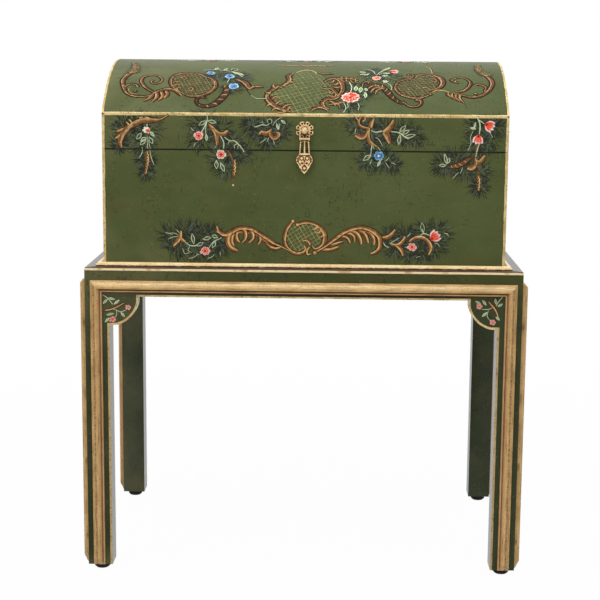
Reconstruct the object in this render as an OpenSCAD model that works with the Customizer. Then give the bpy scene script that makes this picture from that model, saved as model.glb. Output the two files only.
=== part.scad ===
// Dome-top chest that sits inside a low rim on a square-legged stand.
// Millimetres, +Z up, front towards -Y, origin on the floor under the middle of the stand.

/* [Stand] */
// Width of the stand across its legs
frame_w = 762; // [640:1:900]
// Depth of the stand across its legs
frame_d = 488; // [400:1:600]
// Height of the top of the legs and rails above the floor
frame_h = 544.6; // [350:0.1:700]
// Side of a square leg
leg_w = 43; // [40:0.5:60]
// Height of a rail
rail_h = 45.5; // [44:0.5:80]
// Thickness of a rail
rail_t = 22; // [18:0.5:30]
// Length of the tenon at each end of a rail
tenon_l = 18; // [10:0.5:20]
// Thickness of a tenon
tenon_t = 8; // [6:0.5:10]
// Height of a tenon
tenon_h = 32; // [20:1:34]
// How much deeper a mortise is than its tenon
mortise_spare = 1; // [0.5:0.5:2]
// Radius of the rounded corner brackets
bracket_r = 52; // [35:0.5:70]
// How far a bracket reaches along the leg and along the rail
bracket_reach = 50.8; // [30:0.1:70]
// Thickness of a bracket
bracket_t = 18; // [10:0.5:22]

/* [Stand mouldings] */
// Width of the applied moulding
mould_w = 20.2; // [18:0.1:24]
// Thickness of the moulding's flat ground
mould_ground_t = 2; // [1:0.1:2.5]
// Width of the flat step along the moulding's outer edge
mould_step_w = 2.6; // [1.5:0.1:4]
// Height of that step above the leg
mould_step_t = 5.4; // [3:0.1:6]
// Radius of the moulding's large half-round
torus_r = 6.8; // [5:0.1:7]
// Height of the half-round's centre above the leg
torus_rise = 3.9; // [2:0.1:4]
// How far the half-round runs into the step
torus_lap = 0.4; // [0.1:0.1:1]
// Radius of the small bead along the moulding's inner edge
small_bead_r = 2; // [1.5:0.1:3]
// Green border left between the moulding and the leg's outer edge
side_reveal = 10.2; // [6:0.1:12]
// Green border left above the moulding on a rail
top_reveal = 17.5; // [12:0.5:20]
// Bevel cut off the foot of a leg moulding
mould_foot_bevel = 9.5; // [3:0.5:10]

/* [Stand top and rim] */
// Thickness of the top board where its edge shows
top_edge_t = 4; // [3:0.5:8]
// Thickness of the top board between the rails
top_field_t = 12; // [8:0.5:16]
// Step from the top board's edge to the rim strip
rim_setback = 1; // [0.5:0.1:2]
// Width of the low sloping part of the rim
rim_slope_w = 16.5; // [8:0.5:20]
// Height of the slope at its outer edge
rim_slope_t = 0.8; // [0.5:0.1:2]
// Height of the slope where it runs into the bead
rim_slope_rise = 2; // [1:0.1:2.4]
// Width of the rounded bead that holds the chest
rim_bead_w = 11.6; // [8:0.1:14]
// Height of the bead above the top board
rim_bead_h = 8; // [7:0.1:14]

/* [Glides] */
// Diameter of the round glide under each leg
glide_d = 28; // [16:0.5:32]
// Height of a glide
glide_h = 11; // [4:0.5:14]
// Bevel round the foot of a glide
glide_bevel = 3; // [0.5:0.5:4]
// Diameter of the pin that holds a glide
glide_pin_d = 5; // [3:0.5:8]
// Length of that pin
glide_pin_l = 18; // [10:1:30]

/* [Chest] */
// Height of the chest's walls below the seam, down to the top board
case_h = 205; // [150:0.5:260]
// Height of the lid's upright front, from the seam to the dome
skirt_h = 62; // [50:0.5:90]
// Rise of the dome above its front edge
dome_rise = 90.5; // [60:0.5:110]
// Thickness of the chest's walls and the lid's upright parts
wall_t = 12; // [10:0.5:16]
// Thickness of the curved dome
dome_t = 8; // [6:0.5:10]
// Depth of the rebate that an end board fits into
rebate = 6; // [3:0.5:8]
// Thickness of the bottom board
bottom_t = 8; // [6:0.5:12]
// Depth of the groove that holds the bottom board
groove_d = 5; // [3:0.5:6]
// Height of that groove above the lower edge of the walls
groove_rise = 5; // [3:0.5:10]

/* [Butt hinges] */
// Length of a hinge along the back of the chest
hinge_l = 60; // [45:1:80]
// Height of each leaf above or below the seam
leaf_h = 25; // [20:1:32]
// Thickness of a leaf
leaf_t = 1.6; // [1.2:0.1:2]
// Outer radius of the knuckles
knuckle_r = 3; // [2.6:0.1:4]
// Gap between the knuckles and the back of the chest
knuckle_stand_off = 0.2; // [0.1:0.1:0.6]
// Radius of the hinge pin
hinge_pin_r = 1.5; // [1:0.1:1.8]
// Distance of each hinge from the middle of the chest
hinge_x = 215; // [150:1:250]
// Angle at which the stop tongue meets the lower leaf
stop_angle = 95.5; // [92:0.5:110]
// Reach of the stop tongue from the pin's centre
tongue_reach = 8; // [7:0.5:10]
// Thickness of the stop tongue
tongue_t = 2.2; // [1.8:0.1:2.8]
// Radius of a hinge screw's shank
screw_r = 1.5; // [1:0.1:1.8]
// Radius of a hinge screw's head
screw_head_r = 2.9; // [2.4:0.1:3.4]
// Length of a hinge screw
screw_l = 10; // [6:0.5:11]
// Width of the slot in a screw's head
drive_w = 0.7; // [0.5:0.1:1]
// Depth of that slot
drive_d = 0.6; // [0.4:0.1:0.9]
// Spacing of the screws along a leaf
screw_pitch = 22; // [16:1:24]
// Distance of the screws from the seam
screw_row = 16; // [12:0.5:18]

/* [Pendant pull] */
// Height of the rosette's centre above the seam
pull_rise = 35; // [30:0.5:40]
// Distance from the rosette's centre to the centres of its lobes
lobe_ring_r = 11.8; // [10:0.1:14]
// Radius of one lobe
lobe_r = 5; // [4:0.1:6]
// Radius of the hole in each lobe
lobe_hole_r = 1.5; // [1:0.1:2]
// Distance of those holes outwards from their lobes' centres
lobe_hole_shift = 0.6; // [0:0.1:1]
// Number of lobes
lobes = 8; // [6:1:10]
// Thickness of the rosette
rosette_t = 1.8; // [1.4:0.1:2.5]
// Radius of the raised boss round the post, at its top
rosette_boss_r = 8.3; // [7:0.1:9]
// Height of that boss above the rosette
rosette_boss_h = 0.8; // [0.4:0.1:1.2]
// Radius of the post that goes through the lid
post_r = 3; // [2.4:0.1:3.4]
// Radius of the post's round head
ball_r = 6; // [5:0.1:6.4]
// Distance of the pendant's pivot from the lid's front
pivot_out = 6.5; // [5.5:0.1:8]
// Distance of the round head's centre in front of the pivot
ball_out = 3; // [2:0.1:4]
// Radius of the pivot pin
pivot_pin_r = 1; // [0.8:0.1:1.3]
// Radius of the pendant's two eyes round the pivot pin
eye_r = 2.6; // [2.2:0.1:3]
// Thickness of each eye
eye_t = 1.8; // [1.4:0.1:2.4]
// Gap between the round head and each eye
eye_gap = 0.5; // [0.3:0.1:1]
// Thickness of the pendant's plate
pendant_t = 2; // [1.6:0.1:3]
// Distance from the pivot down to the top of the pendant's neck
neck_drop = 12.5; // [11:0.1:16]
// Length of the pendant's neck
neck_l = 27; // [20:0.5:35]
// Width of the neck at its lower end
neck_w = 19.4; // [16:0.1:24]
// Width of each of the neck's two slots
slot_w = 3; // [2:0.1:4]
// Length of those slots
slot_l = 20; // [14:0.5:26]
// Distance of those slots above the leaf
slot_rise = 3; // [2:0.5:5]
// Greatest width of the leaf-shaped end
leaf_w = 30.4; // [24:0.1:36]
// Length of the leaf-shaped end
leaf_l = 35; // [30:0.5:44]
// Distance from the top of the leaf down to its widest place
leaf_shoulder = 10; // [8:0.5:14]
// Radius of the raised boss on the leaf, at its foot
leaf_boss_r = 7; // [5:0.5:8]
// Height of that boss
leaf_boss_h = 1.2; // [0.6:0.1:1.6]
// Width across the flats of the nut inside the lid
nut_af = 9; // [8:0.1:12]
// Thickness of that nut
nut_t = 3.5; // [2.5:0.1:5]
// How far the post stands out of its nut
post_tail = 2; // [1:0.5:4]

/* [Clearances] */
// Gap between parts that lift off or swing apart
seat_gap = 0.25; // [0.2:0.05:0.5]
// Gap on each side between the chest and the rim
chest_fit = 0.6; // [0.4:0.1:0.9]
// Radial gap of a pin that turns in its eye
pin_fit = 0.05; // [0.01:0.01:0.1]
// Gap round glued and screwed parts
glue_fit = 0.05; // [0.02:0.01:0.1]
// Side gap between the knuckles of a hinge
knuckle_fit = 0.3; // [0.2:0.05:0.5]
// Gap between a knuckle and the leaf that is cut away round it
sweep_fit = 0.4; // [0.3:0.1:0.8]
// How much deeper a hole is than the pin or screw in it
hole_spare = 0.5; // [0.2:0.1:1]

/* [Hidden] */
$fn = 96;
cut = 1;
green = [0.23, 0.31, 0.14];
dome_green = [0.27, 0.35, 0.17];
gilt = [0.72, 0.57, 0.28];
brass = [0.76, 0.64, 0.40];
dark_brown = [0.14, 0.08, 0.05];
bare_wood = [0.55, 0.42, 0.28];

top_z = frame_h + top_edge_t;
rail_z = frame_h - rail_h;
mould_z = frame_h - top_reveal;
small_bead_u = mould_w - small_bead_r;
torus_u = mould_step_w + torus_r - torus_lap;
rim_w = rim_setback + rim_slope_w + rim_bead_w;

chest_w = frame_w - 2 * (rim_w + chest_fit);
chest_d = frame_d - 2 * (rim_w + chest_fit);
case_z = top_z + seat_gap;
seam_z = top_z + case_h;
spring_z = seam_z + skirt_h;
crest_z = spring_z + dome_rise;
dome_r = (pow(chest_d / 2, 2) + pow(dome_rise, 2)) / (2 * dome_rise);
dome_z = crest_z - dome_r;
case_top = seam_z - seat_gap;
lid_base = seam_z + seat_gap;

hinge_y = chest_d / 2 + knuckle_r + knuckle_stand_off;
hinge_bore_r = hinge_pin_r + pin_fit;
knuckle_l = (hinge_l - 2 * knuckle_fit) / 3;
sweep_r = knuckle_r + sweep_fit;
leaf_out = hinge_y - chest_d / 2 - leaf_t;
tongue_low = (leaf_out - tongue_reach * sin(stop_angle - 90)) / cos(stop_angle - 90);

front_y = -chest_d / 2;
pull_z = seam_z + pull_rise;
pivot_y = front_y - pivot_out;
ball_y = pivot_y - ball_out;
eye_x = ball_r + eye_gap;
pull_w = 2 * (eye_x + eye_t);
leaf_z = neck_drop + neck_l;

// Sides of the stand
// The width of the side that faces the given way, and its distance from the middle
function side_w(turn) = turn % 180 == 0 ? frame_w : frame_d;
function side_out(turn) = (turn % 180 == 0 ? frame_d : frame_w) / 2;

// Places its children on one side of the stand: x along the side, -y out of it
module on_side(turn) {
    rotate([0, 0, turn]) translate([0, -side_out(turn), 0]) children();
}

// Legs
module leg(hand, end) {
    x = hand * (frame_w - leg_w) / 2;
    y = end * (frame_d - leg_w) / 2;
    mortise_l = tenon_l + mortise_spare;
    mortise_z = frame_h - (rail_h + tenon_h) / 2 - glue_fit;
    mortise_in = (rail_t - tenon_t) / 2 - glue_fit;
    color(green) difference() {
        translate([x - leg_w / 2, y - leg_w / 2, glide_h]) cube([leg_w, leg_w, frame_h - glide_h]);
        // Mortise for the front or back rail, cut in from the leg's inner side
        mirror([hand < 0 ? 1 : 0, 0, 0]) mirror([0, end < 0 ? 1 : 0, 0])
            translate([frame_w / 2 - leg_w - cut, frame_d / 2 - mortise_in - tenon_t - 2 * glue_fit, mortise_z])
                cube([mortise_l + cut, tenon_t + 2 * glue_fit, tenon_h + 2 * glue_fit]);
        // Mortise for the side rail
        mirror([hand < 0 ? 1 : 0, 0, 0]) mirror([0, end < 0 ? 1 : 0, 0])
            translate([frame_w / 2 - mortise_in - tenon_t - 2 * glue_fit, frame_d / 2 - leg_w - cut, mortise_z])
                cube([tenon_t + 2 * glue_fit, mortise_l + cut, tenon_h + 2 * glue_fit]);
        translate([x, y, glide_h - cut])
            cylinder(r = glide_pin_d / 2 + glue_fit, h = glide_pin_l + cut + hole_spare);
    }
}

// Rails
module rail(turn) {
    body_l = side_w(turn) - 2 * leg_w;
    tenon_in = (rail_t - tenon_t) / 2;
    color(green) on_side(turn) union() {
        translate([-body_l / 2, 0, rail_z]) cube([body_l, rail_t, rail_h]);
        translate([-body_l / 2 - tenon_l, tenon_in, rail_z + (rail_h - tenon_h) / 2])
            cube([body_l + 2 * tenon_l, tenon_t, tenon_h]);
    }
}

// Corner brackets
// A quarter disc whose ends are cut square where it meets the leg and the rail
module bracket(turn, hand) {
    color(green) on_side(turn) mirror([hand > 0 ? 1 : 0, 0, 0])
        translate([leg_w - side_w(turn) / 2, 0, rail_z]) intersection() {
            rotate([-90, 0, 0]) cylinder(r = bracket_r, h = bracket_t);
            translate([0, 0, -bracket_reach]) cube([bracket_reach, bracket_t, bracket_reach]);
        }
}

// Applied mouldings
// Section: x from the outer edge inwards, y out of the leg's face
module moulding_section() {
    intersection() {
        square([mould_w, torus_rise + torus_r]);
        union() {
            square([mould_w, mould_ground_t]);
            square([mould_step_w, mould_step_t]);
            translate([torus_u, torus_rise]) circle(r = torus_r);
            translate([small_bead_u, small_bead_r]) circle(r = small_bead_r);
        }
    }
}

module rail_moulding(turn) {
    run = side_w(turn) - 2 * side_reveal;
    color(gilt) on_side(turn) translate([0, 0, mould_z]) difference() {
        translate([run / 2, 0, 0]) rotate([90, 90, -90]) linear_extrude(run) moulding_section();
        // Mitre at each end
        for (hand = [-1, 1])
            mirror([hand < 0 ? 1 : 0, 0, 0])
                translate([run / 2, 0, 0]) rotate([0, 45, 0])
                    translate([0, -2 * mould_w, -2 * mould_w]) cube([2 * mould_w, 3 * mould_w, 4 * mould_w]);
    }
}

module leg_moulding(turn, hand) {
    run = mould_z - glide_h;
    outer_x = side_w(turn) / 2 - side_reveal;
    color(gilt) on_side(turn) mirror([hand > 0 ? 1 : 0, 0, 0]) translate([-outer_x, 0, mould_z]) difference() {
        rotate([180, 0, 0]) linear_extrude(run) moulding_section();
        // Mitre under the end of the rail's moulding
        rotate([0, 45, 0])
            translate([-2 * mould_w, -2 * mould_w, 0]) cube([4 * mould_w, 3 * mould_w, 2 * mould_w]);
        // Bevel at the foot
        translate([-cut, mould_foot_bevel - torus_rise - torus_r, -run]) rotate([125, 0, 0])
            cube([mould_w + 2 * cut, 2 * mould_w, 2 * mould_w]);
    }
}

// Top board
module stand_top() {
    inner_w = frame_w - 2 * (rail_t + glue_fit);
    inner_d = frame_d - 2 * (rail_t + glue_fit);
    notch = leg_w - rail_t;
    color(green) difference() {
        union() {
            translate([-frame_w / 2, -frame_d / 2, frame_h]) cube([frame_w, frame_d, top_edge_t]);
            translate([-inner_w / 2, -inner_d / 2, top_z - top_field_t])
                cube([inner_w, inner_d, top_field_t - top_edge_t + cut]);
        }
        // Room for the legs at the corners of the lower part
        for (sx = [-1, 1], sy = [-1, 1])
            translate([sx * inner_w / 2, sy * inner_d / 2, frame_h - notch])
                cube([2 * notch, 2 * notch, 2 * notch], center = true);
    }
}

// Rim
// Section: x from the top board's edge inwards, y up
module rim_section() {
    bead_r = rim_bead_w / 2;
    bead_u = rim_w - rim_bead_w;
    shoulder = rim_bead_h - bead_r;
    union() {
        polygon([[rim_setback, 0], [rim_setback, rim_slope_t],
            [bead_u + bead_r, rim_slope_rise], [bead_u + bead_r, 0]]);
        translate([bead_u, 0]) square([rim_bead_w, shoulder]);
        intersection() {
            translate([bead_u + bead_r, shoulder]) circle(r = bead_r);
            translate([bead_u - cut, shoulder]) square([rim_bead_w + 2 * cut, rim_bead_w]);
        }
    }
}

module rim(turn) {
    run = side_w(turn);
    color(gilt) on_side(turn) translate([0, 0, top_z]) difference() {
        translate([-run / 2, 0, 0]) rotate([90, 0, 90]) linear_extrude(run) rim_section();
        for (hand = [-1, 1])
            mirror([hand < 0 ? 1 : 0, 0, 0])
                translate([run / 2, 0, 0]) rotate([0, 0, 45])
                    translate([0, -2 * rim_w, -rim_w]) cube([2 * rim_w, 4 * rim_w, 2 * rim_w]);
    }
}

// Glides
module glides() {
    color(dark_brown) for (sx = [-1, 1], sy = [-1, 1])
        translate([sx * (frame_w - leg_w) / 2, sy * (frame_d - leg_w) / 2, 0]) union() {
            rotate_extrude() polygon([[0, 0], [glide_d / 2 - glide_bevel, 0], [glide_d / 2, glide_bevel],
                [glide_d / 2, glide_h], [0, glide_h]]);
            translate([0, 0, glide_h - cut]) cylinder(r = glide_pin_d / 2, h = glide_pin_l + cut);
        }
}

// Chest walls
// A long wall with a rebate at each end, from z = low to z = high
module long_wall(low, high) {
    difference() {
        translate([-chest_w / 2, -chest_d / 2, low]) cube([chest_w, wall_t, high - low]);
        for (sx = [-1, 1])
            translate([sx * chest_w / 2, -chest_d / 2 + wall_t, (low + high) / 2])
                cube([2 * wall_t, 2 * rebate, high - low + 2 * cut], center = true);
    }
}

// Groove for the bottom board, cut into the walls all round
module bottom_groove() {
    inner_w = chest_w - 2 * (wall_t - groove_d);
    inner_d = chest_d - 2 * (wall_t - groove_d);
    translate([-inner_w / 2, -inner_d / 2, case_z + groove_rise - glue_fit])
        cube([inner_w, inner_d, bottom_t + 2 * glue_fit]);
}

module case_long_wall(turn) {
    color(green) difference() {
        rotate([0, 0, turn]) long_wall(case_z, case_top);
        bottom_groove();
        if (turn == 180) screw_holes(-1);
    }
}

module case_end(hand) {
    depth = chest_d - 2 * (wall_t - rebate + glue_fit);
    color(green) difference() {
        translate([hand * (chest_w - wall_t) / 2 - wall_t / 2, -depth / 2, case_z])
            cube([wall_t, depth, case_top - case_z]);
        bottom_groove();
    }
}

module case_bottom() {
    inner_w = chest_w - 2 * (wall_t - groove_d + glue_fit);
    inner_d = chest_d - 2 * (wall_t - groove_d + glue_fit);
    color(bare_wood) translate([-inner_w / 2, -inner_d / 2, case_z + groove_rise])
        cube([inner_w, inner_d, bottom_t]);
}

// Lid
module lid_front() {
    color(green) difference() {
        long_wall(lid_base, spring_z);
        translate([0, front_y - cut, pull_z]) rotate([-90, 0, 0])
            cylinder(r = post_r + glue_fit, h = wall_t + 2 * cut);
    }
}

module lid_back() {
    color(green) difference() {
        rotate([0, 0, 180]) long_wall(lid_base, spring_z);
        screw_holes(1);
    }
}

module lid_end(hand) {
    half_d = chest_d / 2 - wall_t + rebate - glue_fit;
    inner_r = dome_r - dome_t - glue_fit;
    x = hand * (chest_w - wall_t) / 2 - wall_t / 2;
    color(green) union() {
        translate([x, -half_d, lid_base]) cube([wall_t, 2 * half_d, spring_z - glue_fit - lid_base]);
        intersection() {
            translate([x, 0, dome_z]) rotate([0, 90, 0]) cylinder(r = inner_r, h = wall_t, $fn = 240);
            translate([x, -half_d, spring_z - wall_t]) cube([wall_t, 2 * half_d, dome_rise + wall_t]);
        }
    }
}

module lid_dome() {
    color(dome_green) translate([-chest_w / 2, 0, 0]) intersection() {
        translate([0, 0, dome_z]) rotate([0, 90, 0]) difference() {
            cylinder(r = dome_r, h = chest_w, $fn = 240);
            translate([0, 0, -cut]) cylinder(r = dome_r - dome_t, h = chest_w + 2 * cut, $fn = 240);
        }
        translate([-cut, -chest_d, spring_z]) cube([chest_w + 2 * cut, 2 * chest_d, dome_rise + cut]);
    }
}

// Butt hinges
// up is 1 for the leaf on the lid and -1 for the leaf on the chest
module hinge_leaf(hand, up) {
    middle_l = knuckle_l + 2 * knuckle_fit;
    color(brass) translate([hand * hinge_x, 0, 0]) difference() {
        union() {
            difference() {
                translate([-hinge_l / 2, chest_d / 2, up > 0 ? seam_z : seam_z - leaf_h])
                    cube([hinge_l, leaf_t, leaf_h]);
                // Room for the other leaf's knuckles
                knuckle_room(up);
            }
            if (up > 0) {
                knuckle(-knuckle_l / 2);
                stop_tongue();
            } else {
                knuckle(-hinge_l / 2);
                knuckle(hinge_l / 2 - knuckle_l);
            }
        }
        translate([-hinge_l / 2 - cut, hinge_y, seam_z]) rotate([0, 90, 0])
            cylinder(r = hinge_bore_r, h = hinge_l + 2 * cut);
        for (i = [-1:1])
            translate([i * screw_pitch, chest_d / 2 + leaf_t, seam_z + up * screw_row])
                rotate([-90, 0, 0]) screw_shape(glue_fit);
    }
    module knuckle(x) {
        translate([x, hinge_y, seam_z]) rotate([0, 90, 0]) cylinder(r = knuckle_r, h = knuckle_l);
    }
    module knuckle_room(up) {
        low = up > 0 ? seam_z - cut : seam_z - sweep_r;
        if (up < 0) {
            translate([-middle_l / 2, chest_d / 2 - cut, low])
                cube([middle_l, leaf_t + 2 * cut, sweep_r + cut]);
        } else {
            for (s = [-1, 1])
                translate([s * (middle_l / 2 + hinge_l / 2) - hinge_l / 2, chest_d / 2 - cut, low])
                    cube([hinge_l, leaf_t + 2 * cut, sweep_r + cut]);
        }
    }
    // Reaches out from the lid's knuckle and meets the lower leaf when the lid is open
    module stop_tongue() {
        translate([-knuckle_l / 2, hinge_y, seam_z - tongue_low])
            cube([knuckle_l, tongue_reach, tongue_t]);
    }
}

module hinge_pin(hand) {
    color(brass) translate([hand * hinge_x - hinge_l / 2, hinge_y, seam_z]) rotate([0, 90, 0])
        cylinder(r = hinge_pin_r, h = hinge_l);
}

// Countersunk screw, head up at z = 0 and point down, larger all round by grow
module screw_shape(grow) {
    head_h = screw_head_r - screw_r;
    rotate([180, 0, 0]) rotate_extrude() polygon([[0, -grow], [screw_head_r + grow, -grow],
        [screw_head_r + grow, grow], [screw_r + grow, head_h + grow],
        [screw_r + grow, screw_l + grow], [0, screw_l + grow]]);
}

module screws(up) {
    color(brass) for (hand = [-1, 1], i = [-1:1])
        translate([hand * hinge_x + i * screw_pitch, chest_d / 2 + leaf_t, seam_z + up * screw_row])
            rotate([-90, 0, 0]) difference() {
                screw_shape(0);
                cube([2 * screw_head_r + cut, drive_w, 2 * drive_d], center = true);
            }
}

module screw_holes(up) {
    for (hand = [-1, 1], i = [-1:1])
        translate([hand * hinge_x + i * screw_pitch, chest_d / 2 + cut, seam_z + up * screw_row])
            rotate([90, 0, 0]) cylinder(r = screw_r + glue_fit, h = screw_l - leaf_t + cut + hole_spare);
}

// Pendant pull
module pull_rosette() {
    hole_ring_r = lobe_ring_r + lobe_hole_shift;
    color(brass) translate([0, front_y, pull_z]) rotate([90, 0, 0]) difference() {
        union() {
            cylinder(r = lobe_ring_r, h = rosette_t);
            for (i = [0:lobes - 1])
                rotate([0, 0, (i + 0.5) * 360 / lobes]) translate([lobe_ring_r, 0, 0])
                    cylinder(r = lobe_r, h = rosette_t, $fn = 32);
            cylinder(r1 = rosette_boss_r + rosette_boss_h, r2 = rosette_boss_r, h = rosette_t + rosette_boss_h);
        }
        translate([0, 0, -cut]) cylinder(r = post_r + glue_fit, h = rosette_t + rosette_boss_h + 2 * cut);
        for (i = [0:lobes - 1])
            rotate([0, 0, (i + 0.5) * 360 / lobes]) translate([hole_ring_r, 0, -cut])
                cylinder(r = lobe_hole_r, h = rosette_t + 2 * cut, $fn = 24);
    }
}

module pull_post() {
    inner_y = front_y + wall_t;
    tail = nut_t + post_tail;
    color(brass) difference() {
        union() {
            translate([0, ball_y, pull_z]) sphere(r = ball_r);
            translate([0, inner_y + tail, pull_z]) rotate([90, 0, 0])
                cylinder(r = post_r, h = inner_y + tail - ball_y);
        }
        translate([-ball_r - cut, pivot_y, pull_z]) rotate([0, 90, 0])
            cylinder(r = pivot_pin_r + glue_fit, h = 2 * (ball_r + cut));
    }
}

module pull_nut() {
    color(brass) translate([0, front_y + wall_t + nut_t, pull_z]) rotate([90, 0, 0]) difference() {
        cylinder(r = nut_af / 2 / cos(30), h = nut_t, $fn = 6);
        translate([0, 0, -cut]) cylinder(r = post_r + glue_fit, h = nut_t + 2 * cut, $fn = 48);
    }
}

module pull_pivot_pin() {
    color(brass) translate([-pull_w / 2, pivot_y, pull_z]) rotate([0, 90, 0])
        cylinder(r = pivot_pin_r, h = pull_w);
}

// Outline of the pendant seen from the front: x across, y up from the pivot
module pendant_outline() {
    neck_top_w = pull_w;
    half_w = leaf_w / 2;
    wide_z = -leaf_z - leaf_shoulder;
    tip_z = -leaf_z - leaf_l;
    // Right edge of the leaf, from the neck out to its greatest width and in to the tip
    leaf_edge = [[neck_w / 2, 2 - leaf_z], [half_w - 2, -leaf_z - 5], [half_w, wide_z],
        [half_w - 2.2, wide_z - 7], [half_w - 4.4, wide_z - 8], [1.4, tip_z + 0.8]];
    left_edge = [for (i = [len(leaf_edge) - 1:-1:0]) [-leaf_edge[i].x, leaf_edge[i].y]];
    difference() {
        union() {
            polygon([[-neck_top_w / 2, -neck_drop], [neck_top_w / 2, -neck_drop],
                [neck_w / 2, -leaf_z], [-neck_w / 2, -leaf_z]]);
            polygon(concat(leaf_edge, [[0, tip_z]], left_edge));
        }
        for (s = [-1, 1])
            translate([s * (neck_top_w + neck_w) / 8 - slot_w / 2, slot_rise - leaf_z])
                square([slot_w, slot_l]);
    }
}

module pull_pendant() {
    color(brass) translate([0, pivot_y, pull_z]) difference() {
        union() {
            translate([0, pendant_t / 2, 0]) rotate([90, 0, 0]) linear_extrude(pendant_t) pendant_outline();
            // The two arms that pass the round head, and their eyes
            for (s = [-1, 1])
                translate([s * (eye_x + eye_t / 2), 0, 0]) {
                    rotate([0, 90, 0]) cylinder(r = eye_r, h = eye_t, center = true);
                    translate([-eye_t / 2, -pendant_t / 2, -neck_drop - cut])
                        cube([eye_t, pendant_t, neck_drop + cut]);
                }
            // Raised boss in the middle of the leaf
            translate([0, -pendant_t / 2, -leaf_z - leaf_shoulder]) rotate([90, 0, 0])
                cylinder(r1 = leaf_boss_r, r2 = leaf_boss_r - 3, h = leaf_boss_h);
        }
        translate([-pull_w, 0, 0]) rotate([0, 90, 0]) cylinder(r = pivot_pin_r + pin_fit, h = 2 * pull_w);
    }
}

leg(-1, -1);  // leg_front_left
leg(1, -1);  // leg_front_right
leg(-1, 1);  // leg_back_left
leg(1, 1);  // leg_back_right
rail(0);  // rail_front
rail(90);  // rail_right
rail(180);  // rail_back
rail(270);  // rail_left
bracket(0, -1);  // bracket_front_left
bracket(0, 1);  // bracket_front_right
bracket(180, 1);  // bracket_back_left
bracket(180, -1);  // bracket_back_right
bracket(270, 1);  // bracket_left_front
bracket(270, -1);  // bracket_left_back
bracket(90, -1);  // bracket_right_front
bracket(90, 1);  // bracket_right_back
rail_moulding(0);  // moulding_front_rail
leg_moulding(0, -1);  // moulding_front_left_leg
leg_moulding(0, 1);  // moulding_front_right_leg
rail_moulding(180);  // moulding_back_rail
leg_moulding(180, 1);  // moulding_back_left_leg
leg_moulding(180, -1);  // moulding_back_right_leg
rail_moulding(270);  // moulding_left_rail
leg_moulding(270, 1);  // moulding_left_front_leg
leg_moulding(270, -1);  // moulding_left_back_leg
rail_moulding(90);  // moulding_right_rail
leg_moulding(90, -1);  // moulding_right_front_leg
leg_moulding(90, 1);  // moulding_right_back_leg
stand_top();
rim(0);  // rim_front
rim(90);  // rim_right
rim(180);  // rim_back
rim(270);  // rim_left
glides();
case_long_wall(0);  // case_front
case_long_wall(180);  // case_back
case_end(-1);  // case_left_end
case_end(1);  // case_right_end
case_bottom();
lid_front();
lid_back();
lid_end(-1);  // lid_left_end
lid_end(1);  // lid_right_end
lid_dome();
hinge_leaf(-1, -1);  // left_hinge_lower_leaf
hinge_leaf(-1, 1);  // left_hinge_upper_leaf
hinge_pin(-1);  // left_hinge_pin
hinge_leaf(1, -1);  // right_hinge_lower_leaf
hinge_leaf(1, 1);  // right_hinge_upper_leaf
hinge_pin(1);  // right_hinge_pin
screws(-1);  // lower_leaf_screws
screws(1);  // upper_leaf_screws
pull_rosette();
pull_post();
pull_nut();
pull_pivot_pin();
pull_pendant();
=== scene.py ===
"""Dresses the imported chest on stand: lacquer, gilding, painted ornament and the pendant pull.

Lengths are in millimetres until a mesh is built, which is in metres. The front faces -Y.
"""
import math
import random

import bmesh
import bpy
from mathutils import Matrix, Vector
from mathutils.noise import noise as wobble


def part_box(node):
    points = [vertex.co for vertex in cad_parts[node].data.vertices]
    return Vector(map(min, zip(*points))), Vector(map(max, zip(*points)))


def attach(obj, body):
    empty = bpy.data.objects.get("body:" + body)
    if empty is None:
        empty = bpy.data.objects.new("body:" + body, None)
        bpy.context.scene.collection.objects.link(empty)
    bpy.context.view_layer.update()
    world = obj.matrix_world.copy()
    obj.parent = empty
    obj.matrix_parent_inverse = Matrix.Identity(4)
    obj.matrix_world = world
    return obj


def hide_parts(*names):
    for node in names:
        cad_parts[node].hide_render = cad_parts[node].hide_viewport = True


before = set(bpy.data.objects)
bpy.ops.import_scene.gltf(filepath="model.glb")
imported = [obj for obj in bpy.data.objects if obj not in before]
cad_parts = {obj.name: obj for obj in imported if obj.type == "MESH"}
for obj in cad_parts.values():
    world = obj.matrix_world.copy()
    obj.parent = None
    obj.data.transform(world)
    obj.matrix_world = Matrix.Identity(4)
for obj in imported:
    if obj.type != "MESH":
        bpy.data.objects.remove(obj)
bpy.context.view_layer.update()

MM = 0.001


# Sizes, read from the CAD parts

def box_mm(node):
    """Lowest and highest corner of a CAD node, in millimetres."""
    return [[value / MM for value in corner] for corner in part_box(node)]


HALF_W, HALF_D, CREST_Z = box_mm("lid_dome")[1]
SPRING_Z = box_mm("lid_dome")[0][2]
CASE_Z = box_mm("case_front")[0][2]
CASE_TOP = box_mm("case_front")[1][2]
LID_BASE = box_mm("lid_front")[0][2]
SEAM_Z = (CASE_TOP + LID_BASE) / 2
SEAM_GAP = (LID_BASE - CASE_TOP) / 2
RISE = CREST_Z - SPRING_Z
DOME_R = (HALF_D ** 2 + RISE ** 2) / (2 * RISE)
DOME_Z = CREST_Z - DOME_R
SPRING_V = SPRING_Z - SEAM_Z
CREST_V = SPRING_V + DOME_R * math.asin(HALF_D / DOME_R)

FRAME_W, FRAME_D, TOP_Z = [size * scale for size, scale in zip(box_mm("stand_top")[1], (2, 2, 1))]
FRAME_H = box_mm("leg_front_left")[1][2]
FOOT_Z = box_mm("leg_front_left")[0][2]
LEG_W = box_mm("leg_front_left")[1][0] + FRAME_W / 2
RAIL_Z = box_mm("rail_front")[0][2]
BRACKET_REACH = RAIL_Z - box_mm("bracket_front_left")[0][2]
BRACKET_R = 52  # radius of a bracket's hollow
MOULD_X = box_mm("moulding_front_rail")[1][0]
MOULD_Y = box_mm("moulding_left_rail")[1][1]
MOULD_Z = box_mm("moulding_front_rail")[1][2]

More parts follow.
